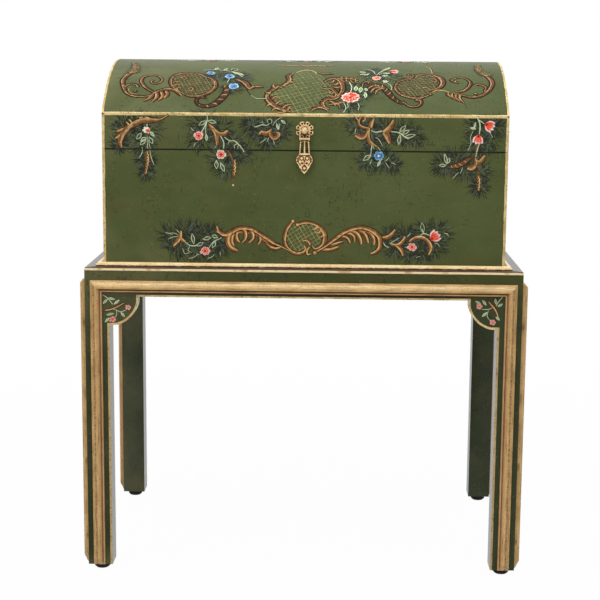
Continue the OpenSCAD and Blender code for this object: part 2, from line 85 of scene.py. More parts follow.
PULL_Z = sum(corner[2] for corner in box_mm("pull_rosette")) / 2
PIVOT_Y = sum(corner[1] for corner in box_mm("pull_pivot_pin")) / 2


# Finishes

class Number:
    """A shader socket that reads as a number, so that Python sums on it add Math nodes."""

    def __init__(self, tree, socket):
        self.tree = tree
        self.socket = socket

    def __add__(self, other):
        return self.tree.math("ADD", self, other)

    __radd__ = __add__

    def __sub__(self, other):
        return self.tree.math("SUBTRACT", self, other)

    def __rsub__(self, other):
        return self.tree.math("SUBTRACT", other, self)

    def __mul__(self, other):
        return self.tree.math("MULTIPLY", self, other)

    __rmul__ = __mul__

    def __truediv__(self, other):
        return self.tree.math("DIVIDE", self, other)

    def __pow__(self, other):
        return self.tree.math("POWER", self, other)

    def __abs__(self):
        return self.tree.math("ABSOLUTE", self)


class NodeTree:
    """Adds nodes to a material or a world."""

    def __init__(self, owner):
        owner.use_nodes = True
        self.tree = owner.node_tree

    def add(self, kind, settings=None, sockets=None):
        """A new node: its settings first, then the values or links of its sockets."""
        node = self.tree.nodes.new(kind)
        for name, value in (settings or {}).items():
            setattr(node, name, value)
        for key, value in (sockets or {}).items():
            self.feed(node.inputs[key], value)
        return node

    def feed(self, socket, value):
        """Links the value to the socket, or sets it there if it is a constant."""
        if isinstance(value, Number):
            value = value.socket
        if isinstance(value, bpy.types.NodeSocket):
            self.tree.links.new(value, socket)
        elif isinstance(value, tuple) and socket.type == "RGBA":
            socket.default_value = (*value[:3], 1)
        else:
            socket.default_value = value

    def math(self, operation, *values):
        node = self.add("ShaderNodeMath", {"operation": operation}, dict(enumerate(values)))
        return Number(self, node.outputs[0])

    def most(self, first, *others):
        """The greatest of the numbers at each place."""
        for other in others:
            first = self.math("MAXIMUM", first, other)
        return first

    def step(self, number, low, high):
        """0 below low, 1 above high, smooth between them."""
        node = self.add("ShaderNodeMapRange", {"interpolation_type": "SMOOTHSTEP"},
                        {"Value": number, "From Min": low, "From Max": high})
        return Number(self, node.outputs["Result"])

    def step_mm(self, number, low, high):
        """The same for a length, between two lengths in millimetres."""
        return self.step(number, low * MM, high * MM)

    def band_mm(self, number, low, high, soft):
        """1 between two lengths in millimetres, fading to 0 over the soft length beyond each."""
        rise = self.step(number, low * MM - soft * MM, low * MM)
        return rise * (1 - self.step(number, high * MM, high * MM + soft * MM))

    def parts(self, vector):
        node = self.add("ShaderNodeSeparateXYZ", None, {0: vector})
        return [Number(self, out) for out in node.outputs]

    def mix(self, factor, first, second):
        """A colour between two: the first where factor is 0, the second where it is 1."""
        node = self.add("ShaderNodeMix", {"data_type": "RGBA"}, {0: factor, 6: first, 7: second})
        return node.outputs[2]


class Finish(NodeTree):
    """One material. Its fixed sockets are set here and its patterns feed the others."""

    def __init__(self, name, **fixed):
        self.material = bpy.data.materials.new(name)
        super().__init__(self.material)
        self.shader = self.tree.nodes["Principled BSDF"]
        self.set(**fixed)
        self.place = self.add("ShaderNodeTexCoord").outputs["Object"]
        self.x, self.y, self.z = self.parts(self.place)

    def set(self, **sockets):
        for key, value in sockets.items():
            self.feed(self.shader.inputs[key.replace("_", " ")], value)

    def noise(self, scale, detail=2.0, stretch=(1, 1, 1), offset=0.0, place=None):
        """Noise from 0 to 1. A larger stretch makes the pattern finer along that axis."""
        shifted = self.add("ShaderNodeVectorMath", {"operation": "MULTIPLY_ADD"},
                           {0: place or self.place, 1: stretch, 2: (offset, offset, offset)})
        node = self.add("ShaderNodeTexNoise", None,
                        {"Vector": shifted.outputs[0], "Scale": scale, "Detail": detail})
        return Number(self, node.outputs[0])

    def spots(self, low, high, scale, detail, **shape):
        """1 in the spots where noise of that scale is above high, 0 where it is below low."""
        return self.step(self.noise(scale, detail, **shape), low, high)

    def recess(self, reach):
        """1 in the open, falling to 0 deep in a groove narrower than the reach."""
        node = self.add("ShaderNodeAmbientOcclusion", {"samples": 6, "only_local": True},
                        {"Distance": reach * MM})
        return Number(self, node.outputs["AO"])

    def bump(self, height, depth):
        """Feeds a relief of the given depth to the normal."""
        node = self.add("ShaderNodeBump", None, {"Strength": 1.0, "Distance": depth * MM, "Height": height})
        self.set(Normal=node.outputs[0])


BLACK = (0.012, 0.012, 0.006)
PALE = (0.42, 0.44, 0.26)
OLIVE = (0.13, 0.095, 0.030)
CHEST_GREEN = (0.076, 0.094, 0.026)
DOME_GREEN = (0.074, 0.094, 0.029)
# The legs' green below and the rail's brown under its moulding are darkened as painted shade
LEG_GREEN_SHADED = (0.026, 0.037, 0.010)
RAIL_GREEN = (0.048, 0.056, 0.011)
RAIL_SHADE_BROWN = (0.022, 0.012, 0.006)
ARRIS_WEAR_AND_HIGHLIGHT = (0.15, 0.085, 0.035)
SEAM_SHADOW = (0.006, 0.006, 0.003)
INSIDE = (0.055, 0.032, 0.018)
INSIDE_GRAIN = (0.026, 0.015, 0.009)
BARE_WOOD = (0.36, 0.23, 0.12)
BARE_GRAIN = (0.25, 0.15, 0.075)
SHELL = 2.5  # the paint wraps this far over an outer arris before the inside finish starts


def worn_lacquer(finish, ground, brown_share):
    """Colour, roughness and relief of old green lacquer, brushed on by hand and knocked about."""
    cloud = finish.noise(7, 3)
    patch = finish.noise(19, 3, offset=4.0)
    streak = finish.noise(24, 4, stretch=(0.8, 0.8, 1.5), offset=9.0)
    darker = finish.mix(0.09, ground, BLACK)
    paler = finish.mix(0.03, ground, PALE)
    olive = finish.mix(0.5, ground, OLIVE)
    colour = finish.mix(finish.step(cloud, 0.3, 0.7), darker, paler)
    colour = finish.mix(finish.step(patch, 0.46, 0.72) * brown_share, colour, olive)
    leftmost = 1 - finish.step_mm(finish.x, -340, -140)
    browned = leftmost * finish.step(cloud, 0.35, 0.65)
    colour = finish.mix(browned * 0.5, colour, finish.mix(0.16, olive, PALE))
    colour = finish.mix(finish.step(streak, 0.45, 0.75) * 0.12, colour, BLACK)
    upright = finish.spots(0.63, 0.7, 260, 1, stretch=(1, 1, 0.4), offset=1.0)
    level = finish.spots(0.65, 0.72, 240, 1, stretch=(0.35, 1, 1.2), offset=6.0)
    dashes = finish.most(upright, level) * finish.spots(0.44, 0.6, 26, 1, offset=2.0)
    flecks = finish.spots(0.68, 0.74, 300, 1, stretch=(0.8, 1, 0.8), offset=13.0)
    colour = finish.mix(dashes * 0.38, colour, BLACK)
    colour = finish.mix(flecks * 0.1, colour, PALE)
    finish.set(Roughness=0.36 + 0.14 * cloud + 0.1 * dashes)
    finish.bump(0.35 * streak + 0.25 * patch - 0.5 * dashes, 0.3)
    return colour


def stained_wood(finish, light, dark):
    """The colour of wood whose grain runs along X."""
    grain = finish.spots(0.36, 0.66, 26, 4, stretch=(0.25, 4, 4), offset=3.0)
    return finish.mix(grain, dark, light)


def paint_outside(finish, beyond, colour):
    """The colour where beyond, a length past the shell, is over 0, and stained wood further in."""
    wood = stained_wood(finish, INSIDE, INSIDE_GRAIN)
    finish.set(Base_Color=finish.mix(finish.step_mm(beyond, -0.3, 0.3), wood, colour))


def chest_lacquer():
    """Lacquer outside and brown stain inside, with a painted shadow line along the gap where lid and case
    meet.
    """
    finish = Finish("chest_lacquer_worn", Specular_IOR_Level=0.2)
    colour = worn_lacquer(finish, CHEST_GREEN, 0.35)
    # painted shadow: a near-black band a few millimetres tall over the narrow gap between lid and case
    seam = 1 - finish.step_mm(abs(finish.z - SEAM_Z * MM), 1.0, 1.7)
    colour = finish.mix(seam * 0.92, colour, SEAM_SHADOW)
    past_end = abs(finish.x) - (HALF_W - SHELL) * MM
    past_front = abs(finish.y) - (HALF_D - SHELL) * MM
    paint_outside(finish, finish.most(past_end, past_front), colour)
    return finish.material


def dome_lacquer():
    """The same on the dome, whose outside is judged by its radius."""
    finish = Finish("dome_lacquer_worn", Specular_IOR_Level=0.2)
    colour = worn_lacquer(finish, DOME_GREEN, 0.25)
    up = finish.z - DOME_Z * MM
    radius = (finish.y * finish.y + up * up) ** 0.5
    past_end = abs(finish.x) - (HALF_W - SHELL) * MM
    paint_outside(finish, finish.most(past_end, radius - (DOME_R - SHELL) * MM), colour)
    return finish.material


def stand_lacquer():
    """Lacquer: painted shade darkens the legs and the rail below its moulding; glossy on the legs' inner
    sides; rubbed at the arrises, where the lighter brown is wear and a painted edge highlight; its top edge
    gilt.
    """
    finish = Finish("stand_lacquer_worn", Specular_IOR_Level=0.15, Coat_Roughness=0.12)
    # painted shade: the legs get a darker green than the rails, for the light that falls off lower down
    ground = finish.mix(finish.step_mm(finish.z, RAIL_Z - 30, RAIL_Z + 20), LEG_GREEN_SHADED, RAIL_GREEN)
    # painted shade: the rail's face below the moulding, and the legs beside it, turn dark brown, most
    # between the legs
    shade_under_moulding = finish.band_mm(finish.z, RAIL_Z, MOULD_Z - 19.5, 1.5)
    between_legs = 1 - finish.step_mm(abs(finish.x), FRAME_W / 2 - 100, FRAME_W / 2 - 90)
    ground = finish.mix(shade_under_moulding * (0.45 + 0.5 * between_legs), ground, RAIL_SHADE_BROWN)
    colour = worn_lacquer(finish, ground, 0.4)
    from_side = FRAME_W / 2 * MM - abs(finish.x)
    from_front = FRAME_D / 2 * MM - abs(finish.y)
    nearest = finish.math("MINIMUM", from_side, from_front)
    rub = finish.noise(60, 3, stretch=(1, 1, 0.5), offset=7.0)
    # rubbed wear and a painted edge highlight: the outer upright arrises turn a lighter brown in patches
    arris = 1 - finish.step_mm(finish.most(from_side, from_front), 0.2, 1.4)
    colour = finish.mix(arris * finish.step(rub, 0.4, 0.62) * 0.7, colour, ARRIS_WEAR_AND_HIGHLIGHT)
    edge = 1 - finish.step_mm(nearest, 0.02, 0.08)
    above = finish.step_mm(finish.z + (rub - 0.5) * 1.2 * MM, FRAME_H - 0.2, FRAME_H + 0.4)
    gold = finish.mix(finish.step(rub, 0.5, 0.72), (0.86, 0.68, 0.42), (0.56, 0.37, 0.17))
    outer_side = 1 - finish.step_mm(nearest, 0.3, 0.9)
    leg_back = finish.band_mm(from_front, LEG_W - 0.6, LEG_W + 0.6, 0.3)
    dull = finish.most(outer_side, leg_back * 0.6)
    finish.set(Base_Color=finish.mix(edge * above, colour, gold), Coat_Weight=0.5 - 0.42 * dull)
    return finish.material


# The pale and shine golds are painted highlights; the bole colour also serves for painted shade
GOLD_BRIGHT = (0.74, 0.47, 0.19)
GOLD_MID = (0.53, 0.32, 0.12)
GOLD_ROSE = (0.55, 0.31, 0.16)
GOLD_FILLET_HIGHLIGHT = (0.84, 0.66, 0.42)
PAINTED_GOLD_HIGHLIGHT = (1.0, 0.82, 0.48)
BOLE_AND_SHADE = (0.105, 0.046, 0.016)


def moulding_gilding():
    """Gold over red-brown bole, streaked along each length and worn through in specks, with painted shade in
    a dashed line on the torus, in the quirk and at the inner lip, and painted highlights on the rails'
    fillet and torus.
    """
    finish = Finish("moulding_gilt_worn", Specular_IOR_Level=0.25)
    on_side = finish.step_mm(abs(finish.x), FRAME_W / 2 - 0.4, FRAME_W / 2 - 0.1)
    from_left = MOULD_X * MM - abs(finish.x)
    from_front = MOULD_Y * MM - abs(finish.y)
    from_edge = from_left * (1 - on_side) + from_front * on_side
    from_top = MOULD_Z * MM - finish.z
    across = finish.math("MINIMUM", from_edge, from_top)
    rail = finish.math("LESS_THAN", from_top, from_edge)
    leg = 1 - rail
    length = finish.z + rail * (finish.x + finish.y - finish.z)
    lie = finish.add("ShaderNodeCombineXYZ", None, {0: across, 1: length, 2: on_side}).outputs[0]
    tint = finish.noise(30, 3, stretch=(1.5, 0.7, 1), place=lie)
    streak = finish.noise(330, 3, stretch=(1.6, 0.07, 1), offset=5.0, place=lie)
    dash = finish.spots(0.42, 0.6, 210, 2, stretch=(0.7, 1.0, 1), offset=3.0, place=lie)
    speck = finish.spots(0.6, 0.68, 480, 2, offset=7.0)

    colour = finish.mix(finish.step(tint, 0.35, 0.7), GOLD_BRIGHT, GOLD_MID)
    hollow = finish.band_mm(across, 13.0, 19.0, 2.5)
    colour = finish.mix(hollow * leg * 0.5, colour, GOLD_ROSE)
    # painted shade: the legs a little darker than the rails
    colour = finish.mix(leg * 0.06, colour, BOLE_AND_SHADE)
    # painted highlight: the rails' upper fillet paler
    fillet_highlight = 1 - finish.step_mm(across, 2.0, 2.7)
    colour = finish.mix(fillet_highlight * 0.3 * rail, colour, GOLD_FILLET_HIGHLIGHT)
    # painted highlight on the rails' torus, broken by streaks
    swell = finish.band_mm(across, 4.5, 8.0, 2.5)
    painted_highlight = swell * rail * (0.25 + 0.75 * finish.step(streak, 0.45, 0.6))
    colour = finish.mix(painted_highlight * 0.8, colour, PAINTED_GOLD_HIGHLIGHT)

    # painted shade, broken into dashes: a dark line along the torus's flank, strongest on the legs
    line = finish.band_mm(across, 5.6, 7.6, 1.3) * (1 - 0.75 * rail) * (0.35 + 0.65 * dash)
    # painted shade in the quirk below the torus, strongest on the rails, and at the moulding's inner lip
    quirk_shade = finish.band_mm(across, 14.7, 16.7, 0.8) * (0.15 + 0.8 * rail)
    lip_shade = finish.step_mm(across, 19.0, 20.0) * (0.35 + 0.35 * rail)
    # real wear from streaks and specks, together with the painted shade above
    wear_and_shade = finish.most(finish.step(streak, 0.52, 0.7) * 0.62, speck * 0.66, line * 0.75, quirk_shade, lip_shade)
    finish.set(Base_Color=finish.mix(wear_and_shade, colour, BOLE_AND_SHADE), Metallic=0.25 - 0.25 * wear_and_shade,
               Roughness=0.38 + 0.2 * wear_and_shade)
    finish.bump(0.5 * streak - 0.6 * wear_and_shade + 0.4 * tint, 0.2)
    return finish.material


def line_gilding():
    """The hand-drawn gilt lines: gold, browner on the legs as painted shade, with the lacquer showing
    through in specks.
    """
    finish = Finish("gilt_line_worn")
    speck = finish.noise(330, 2, offset=3.0)
    colour = finish.mix(finish.spots(0.35, 0.7, 45, 3), (0.78, 0.59, 0.27), (0.54, 0.36, 0.13))
    # painted shade: the lines darken to brown below the rail, on the legs
    low = 1 - finish.step_mm(finish.z, RAIL_Z - 90, RAIL_Z - 40)
    colour = finish.mix(low * 0.6, colour, (0.40, 0.25, 0.10))
    broken = finish.spots(0.58, 0.72, 90, 3, offset=6.0)
    worn = finish.most(finish.step(speck, 0.56, 0.68) * 0.7, broken * 0.6)
    finish.set(Base_Color=finish.mix(worn, colour, (0.13, 0.095, 0.035)), Metallic=0.2 - 0.2 * worn,
               Roughness=0.4 + 0.15 * worn)
    finish.bump(speck, 0.1)
    return finish.material


def rim_gilding():
    """A bright gilt bead above a brown slope, glossiest at the ends, with gold left in a broken line."""
    finish = Finish("rim_gilt_worn", Specular_IOR_Level=0.2, Coat_Roughness=0.15)
    bead_foot = TOP_Z + 2.4
    broken = finish.noise(150, 2, stretch=(0.7, 0.7, 1.6), offset=2.0)
    bead = finish.step_mm(finish.z + (broken - 0.5) * 1.8 * MM, bead_foot, bead_foot + 0.8)
    gold = finish.mix(finish.spots(0.35, 0.7, 35, 3), (0.95, 0.74, 0.42), (0.86, 0.60, 0.29))
    patch = finish.spots(0.52, 0.66, 60, 3, offset=9.0)
    brown = finish.mix(patch * 0.4, (0.035, 0.014, 0.007), (0.12, 0.055, 0.020))
    flake = finish.step(broken, 0.54, 0.62) * finish.step_mm(finish.z, TOP_Z + 1.4, bead_foot)
    brown = finish.mix(flake * 0.8, brown, (0.50, 0.34, 0.14))
    cover = bead * (1 - 0.4 * finish.spots(0.6, 0.68, 330, 2, offset=5.0))
    mitre = (FRAME_W - FRAME_D) / 2
    at_end = finish.step_mm(abs(finish.x) - abs(finish.y), mitre - 0.5, mitre + 0.5)
    finish.set(Base_Color=finish.mix(cover, brown, gold), Metallic=0.25 * cover,
               Roughness=0.5 - 0.15 * cover, Coat_Weight=0.2 + 0.45 * at_end)
    finish.bump(cover, 0.2)
    return finish.material


def cast_brass(name, light, dark, rough):
    """Brass with tarnish in its hollows and rubbed high spots."""
    finish = Finish(name)
    open_face = finish.step(finish.recess(1.8), 0.42, 0.92)
    cloud = finish.noise(260, 3)
    cover = open_face * (0.8 + 0.5 * (cloud - 0.5))
    finish.set(Base_Color=finish.mix(cover, dark, light), Metallic=0.15 + 0.25 * open_face,
               Roughness=rough + 0.15 * cloud)
    finish.bump(finish.noise(500, 3, offset=2.0), 0.1)
    return finish.material


def relief_brass(name, floor):
    """Brass that faces the front, coloured by the height of its relief: dark on its floor as tarnish and
    painted shade, painted highlights on the crests, plain behind.
    """
    finish = Finish(name)
    height = 0 - finish.y - floor * MM
    tint = finish.noise(170, 3)
    rosy = finish.step(tint, 0.4, 0.65)
    middle = finish.mix(rosy, (0.56, 0.33, 0.12), (0.50, 0.23, 0.12))
    high = finish.mix(rosy, (0.98, 0.78, 0.38), (0.94, 0.62, 0.38))
    # tarnish and painted shade on the relief's floor
    hollow = finish.mix(finish.step_mm(height, -0.9, -0.4), middle, (0.040, 0.016, 0.007))
    colour = finish.mix(finish.step_mm(height, 0.45, 1.05), hollow, middle)
    # painted highlight on the crests
    colour = finish.mix(finish.step_mm(height, 1.1, 1.8), colour, high)
    finish.set(Base_Color=colour, Metallic=0.1 + 0.2 * finish.step_mm(height, 0.8, 1.4),
               Roughness=0.26 + 0.15 * tint)
    finish.bump(finish.noise(500, 3, offset=2.0), 0.1)
    return finish.material


def glide_plastic():
    """Dark brown moulded plastic."""
    finish = Finish("glide_plastic", Specular_IOR_Level=0.2)
    mottle = finish.noise(200, 3)
    finish.set(Base_Color=finish.mix(mottle, (0.010, 0.006, 0.004), (0.026, 0.015, 0.010)),
               Roughness=0.5 + 0.2 * mottle)
    finish.bump(mottle, 0.1)
    return finish.material


def plain_wood():
    """Bare wood, for the chest's bottom board."""
    finish = Finish("bottom_board_wood", Roughness=0.6)
    finish.set(Base_Color=stained_wood(finish, BARE_WOOD, BARE_GRAIN))
    finish.bump(finish.noise(40, 4, stretch=(0.25, 4, 4)), 0.2)
    return finish.material


def artists_paint(name, light, deep):
    """Brushed colour that runs from light to deep within a stroke."""
    finish = Finish(name, Specular_IOR_Level=0.2)
    bristle = finish.noise(700, 2, stretch=(1, 1, 0.5), offset=4.0)
    finish.set(Base_Color=finish.mix(finish.spots(0.34, 0.68, 120, 3), light, deep),
               Roughness=0.42 + 0.15 * bristle)
    finish.bump(bristle, 0.1)
    return finish.material


SLOTS = {
    "chest_lacquer": chest_lacquer(),
    "dome_lacquer": dome_lacquer(),
    "stand_lacquer": stand_lacquer(),
    "gilt_moulding": moulding_gilding(),
    "gilt_rim": rim_gilding(),
    "bare_wood": plain_wood(),
    "glide_brown": glide_plastic(),
    "hinge_brass": cast_brass("hinge_brass_aged", (0.52, 0.38, 0.18), (0.10, 0.07, 0.035), 0.32),
    "antique_brass": cast_brass("pull_brass_aged", (0.98, 0.72, 0.38), (0.10, 0.048, 0.018), 0.28),
}
RELIEF = {name: relief_brass(f"{name}_brass_aged", floor)
          for name, floor in (("rosette", HALF_D), ("pendant", -PIVOT_Y))}
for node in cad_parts.values():
    for holder in node.material_slots:
        name = holder.material.name.split(".")[0]
        if name in SLOTS:
            holder.material = SLOTS[name]


# Surfaces that carry paint
# A place on a surface is (u, v): u to the right, v up, and lift off it. On the chest v starts at the seam.

def chest_skin(u, v, lift):
    """The front, and from the spring on the dome, over the crest and down behind."""
    if v <= SPRING_V:
        return (u, -HALF_D - lift, SEAM_Z + v)
    angle = (CREST_V - v) / DOME_R
    thin = min(1, 0.25 + abs(angle) * 2)    # the paint is thinnest on the crest, the object's highest line
    reach = DOME_R + lift * thin
    return (u, -reach * math.sin(angle), DOME_Z + reach * math.cos(angle))


SHEET_WIDTH, SHEET_SHIFT = 0.996, 0.7   # fit the sheet that the front's motifs are drawn on to the chest
SHEET_DOME, SHEET_DROP = 0.965, 0.5     # and its part above the spring to the dome


def painted_front(u, v, lift):
    """The chest's skin for motifs drawn on the flat sheet, which is a little larger."""
    if v > SPRING_V:
        v = SPRING_V - SHEET_DROP + (v - SPRING_V) * SHEET_DOME
    return chest_skin(u * SHEET_WIDTH + SHEET_SHIFT, v, lift)


def end_skin(side):
    """The left (-1) or right (1) end of the chest, seen from outside."""
    return lambda u, v, lift: (side * (HALF_W + lift), side * u, SEAM_Z + v)


def stand_skin(turn):
    """One side of the stand, turned from the front. v is measured up from the floor."""
    out = (FRAME_D if turn % 180 == 0 else FRAME_W) / 2
    angle = math.radians(turn)

    def place(u, v, lift):
        back = -out - lift
        return (u * math.cos(angle) - back * math.sin(angle),
                u * math.sin(angle) + back * math.cos(angle), v)
    return place


# Each surface has its skin and the bodies that carry it, with the lowest and highest v of each
FAR = 1e4
LID_PART = ("lid", SEAM_GAP + 0.1, FAR)
CASE_PART = ("chest", -FAR, -SEAM_GAP - 0.1)
SIDES = (0, 90, 180, 270)
SURFACES = {
    "chest": (painted_front, [LID_PART, CASE_PART]),
    "crest": (chest_skin, [LID_PART]),
    "left_end": (end_skin(-1), [LID_PART, CASE_PART]),
    "right_end": (end_skin(1), [LID_PART, CASE_PART]),
}
for turn in SIDES:
    SURFACES[f"stand_{turn}"] = (stand_skin(turn), [("stand", -FAR, FAR)])

wet = {}    # (surface, paint): bmesh of what is painted there, in (u, v, lift)
dry = {}    # (body, paint): list of (points, faces) in place on the object

FINEST = 0.24       # width of the thinnest stroke
GILT_EDGE = 0.04    # lift of a gilt line at its edges


# Brushwork

def flow(points, step=2.0, closed=False):
    """A smooth line through the points, with a point about every step."""
    if len(points) == 2:
        (a, b), (c, d) = points
        count = max(1, round(math.dist(*points) / step))
        return [(a + (c - a) * k / count, b + (d - b) * k / count) for k in range(count + 1)]
    if closed:
        ring = [points[-1]] + points + points[:2]
    else:
        ring = [points[0]] + points + [points[-1]]
    line = []
    for before, start, end, after in zip(ring, ring[1:], ring[2:], ring[3:]):
        count = max(1, round(math.dist(start, end) / step))
        for k in range(count):
            t = k / count
            line.append(tuple(
                q + 0.5 * t * (r - p + t * (2 * p - 5 * q + 4 * r - s + t * (3 * q - p - 3 * r + s)))
                for p, q, r, s in zip(before, start, end, after)))
    return line if closed else line + [points[-1]]


def along(values, t):
    """The value at t, from 0 to 1, among evenly spaced values."""
    if isinstance(values, (int, float)):
        return values
    place = t * (len(values) - 1)
    index = min(int(place), len(values) - 2)
    return values[index] + (values[index + 1] - values[index]) * (place - index)


def scaled(widths, factor, more=0.0, least=0.0):
    """A stroke's widths times a factor, plus a little more, and never under the least."""
    return [max(least, width * factor + more) for width in widths]


def span(line, k):
    """How far the line goes, (du, dv), from the point before k to the one after it, and that distance."""
    before, after = line[max(k - 1, 0)], line[min(k + 1, len(line) - 1)]
    du, dv = after[0] - before[0], after[1] - before[1]
    return du, dv, math.hypot(du, dv) or 1.0


def beside(points, width, share):
    """The line that runs to the left of the points at a share of the width."""
    line = flow(points, 3.0)
    moved = []
    for k, (u, v) in enumerate(line):
        du, dv, size = span(line, k)
        reach = share * along(width, k / (len(line) - 1)) / size
        moved.append((u - dv * reach, v + du * reach))
    return moved


def bow(start, end, bend):
    """Three points of a stroke that bends to the left by the given share of its length."""
    (a, b), (c, d) = start, end
    return [start, ((a + c) / 2 - (d - b) * bend, (b + d) / 2 + (c - a) * bend), end]


def polar(centre, reach, angle, squash=1.0):
    """The point at that reach and angle from the centre, on a circle squashed in height."""
    return (centre[0] + reach * math.cos(angle), centre[1] + squash * reach * math.sin(angle))


def coil(centre, radius, start, sweep, tight=0.25):
    """Points of a spiral from radius in to tight times radius, through sweep degrees."""
    count = max(3, int(abs(sweep) / 40))
    return [polar(centre, radius * (1 - (1 - tight) * k / count), math.radians(start + sweep * k / count))
            for k in range(count + 1)]


def hatch(outline, degrees, pitch):
    """Straight lines across a closed outline, as pairs of ends."""
    turn = math.radians(degrees)
    way = (math.cos(turn), math.sin(turn))
    across = (-way[1], way[0])
    spots = [(u * way[0] + v * way[1], u * across[0] + v * across[1]) for u, v in outline]
    sides = list(zip(spots, spots[1:] + spots[:1]))
    level = math.ceil(min(t for _, t in spots) / pitch) * pitch
    lines = []
    while level < max(t for _, t in spots):
        cuts = sorted(s0 + (s1 - s0) * (level - t0) / (t1 - t0)
                      for (s0, t0), (s1, t1) in sides if (t0 > level) != (t1 > level))
        for first, last in zip(cuts[::2], cuts[1::2]):
            if last - first > 1:
                lines.append([(s * way[0] + level * across[0], s * way[1] + level * across[1])
                              for s in (first, last)])
        level += pitch
    return lines


class Painter:
    """Paints on one surface. shift moves what is painted, and scrollwork is in the body and bright paints.

    outline is what its dark edges add to a stroke's width, and hand makes all its strokes heavier. Each
    stroke's lift is a little more than that of what it covers, so that none of them share a surface.
    """

    def __init__(self, surface, seed, shift=(0, 0), body="ochre", bright="cream", outline=2.6, hand=1.0):
        self.surface = surface
        self.random = random.Random(seed)
        self.shift = shift
        self.body = body
        self.bright = bright
        self.outline = outline
        self.edge = "bark" if body == "brown" else "umber"
        self.hand = hand

    def grid(self, paint, rows):
        """Faces between rows of (u, v, lift)."""
        if (self.surface, paint) not in wet:
            wet[self.surface, paint] = bmesh.new()
        mesh = wet[self.surface, paint]
        made = [[mesh.verts.new((u + self.shift[0], v + self.shift[1], lift)) for u, v, lift in row]
                for row in rows]
        for low, high in zip(made, made[1:]):
            for corners in zip(low, low[1:], high[1:], high):
                mesh.faces.new(corners)

    def brush(self, paint, points, width, lift, crown=0.08, step=2.0):
        """One stroke along a smooth line, higher by the crown along its middle."""
        line = flow(points, step)
        lift += self.random.uniform(0, 0.03)
        rows = []
        for k, (u, v) in enumerate(line):
            du, dv, size = span(line, k)
            du, dv = du / size, dv / size
            half = max(FINEST, along(width, k / (len(line) - 1))) / 2
            rows.append([(u - dv * reach, v + du * reach, height)
                         for reach, height in ((-half, lift), (0, lift + crown), (half, lift))])
        self.grid(paint, rows)

    def dab(self, paint, centre, across, up, lift, turn=0.0, lobes=0, depth=0.0):
        """A rounded patch, with lobes cut into its edge if asked."""
        spin = math.radians(turn)
        rows = []
        sides = 12 if lobes == 0 else lobes * 6
        for share, height in ((0.02, 0.10), (0.55, 0.07), (1.0, 0.0)):
            row = []
            for k in range(sides + 1):
                angle = 2 * math.pi * k / sides
                reach = share * (1 - depth * (0.5 + 0.5 * math.cos(lobes * angle)) * share)
                a, b = across * reach * math.cos(angle), up * reach * math.sin(angle)
                row.append((centre[0] + a * math.cos(spin) - b * math.sin(spin),
                            centre[1] + a * math.sin(spin) + b * math.cos(spin), lift + height))
            rows.append(row[::-1])
        self.grid(paint, rows)

    def scroll(self, points, width, lit=1, lift=0.0):
        """A scroll: dark outline, body darker on its far side, bright line and flecks on its lit side."""
        width = scaled(width, self.hand)
        self.brush(self.edge, points, scaled(width, 1, self.outline), 0.06 + lift)
        self.brush(self.body, points, scaled(width, 0.84), 0.16 + lift)
        thick = max(width) > 4
        if thick:
            self.brush("rust", beside(points, width, -0.24 * lit), scaled(width, 0.22), 0.24 + lift,
                       crown=0.03, step=4.0)
        self.brush(self.bright, beside(points, width, (0.22 if thick else 0.05) * lit),
                   scaled(width, 0.26, least=1.1), 0.3 + lift, crown=0.05, step=4.0)
        line = flow(points, 2.5)
        for k in range(2, len(line) - 3, 2):
            size = along(width, k / (len(line) - 1))
            if size < 5 or self.random.random() < 0.3:
                continue
            du, dv = line[k + 1][0] - line[k][0], line[k + 1][1] - line[k][1]
            drift = self.random.uniform(-0.25, 0.2) * size / 2.5 * lit
            start = (line[k][0] - dv * drift, line[k][1] + du * drift)
            end = (start[0] + 2.2 * du - 0.8 * dv * lit, start[1] + 2.2 * dv + 0.8 * du * lit)
            self.brush(self.bright if k % 4 else "rust", bow(start, end, 0.1), (0.3, 1.0, 0.3), 0.34 + lift,
                       crown=0.03)

    def finger(self, root, tip, bend, width, lift=0.0, body=None):
        """One lobe of an acanthus leaf: broad at its root, with a bright edge and a dark one."""
        lit = 1 if bend < 0 else -1
        width *= self.hand
        points = bow(root, tip, bend)
        swell = (width * 0.8, width, width * 0.8, width * 0.22)
        self.brush(self.edge, points, scaled(swell, 1, self.outline * 0.75), 0.07 + lift)
        self.brush(body or self.body, points, scaled(swell, 0.86), 0.16 + lift)
        self.brush("rust", beside(points, swell, -0.24 * lit), scaled(swell, 0.22), 0.22 + lift, crown=0.03)
        self.brush(self.bright, beside(points, swell, 0.2 * lit), scaled(swell, 0.36, least=0.9),
                   0.27 + lift, crown=0.04)

    def fingers(self, ends, width, bend=0.2, body=None):
        """Fingers, each (u, v) at its root and (u, v) at its tip, and its own bend if it has one."""
        for a, b, c, d, *own in ends:
            self.finger((a, b), (c, d), own[0] if own else bend, width, 0.0, body)

    def ribs(self, curves, lift=0.0):
        """Curling ribs, each (points, width), laid so that every one stands clear of its neighbours."""
        for k, (points, width) in enumerate(curves):
            above = lift + 0.1 * (k % 3)
            swell = (width * 0.9, width, width * 0.9, width * 0.7)
            self.brush("umber", points, scaled(swell, 1, 3.4), 0.04 + above)
            self.brush(self.body, points, swell, 0.1 + above, crown=0.04)
            self.brush("rust", beside(points, swell, -0.3), scaled(swell, 0.24), 0.16 + above, crown=0.03)
            self.brush(self.bright, beside(points, swell, 0.12)[1:], (0.2, 0.36 * width, 0.3 * width, 0.5),
                       0.18 + above, crown=0.04)

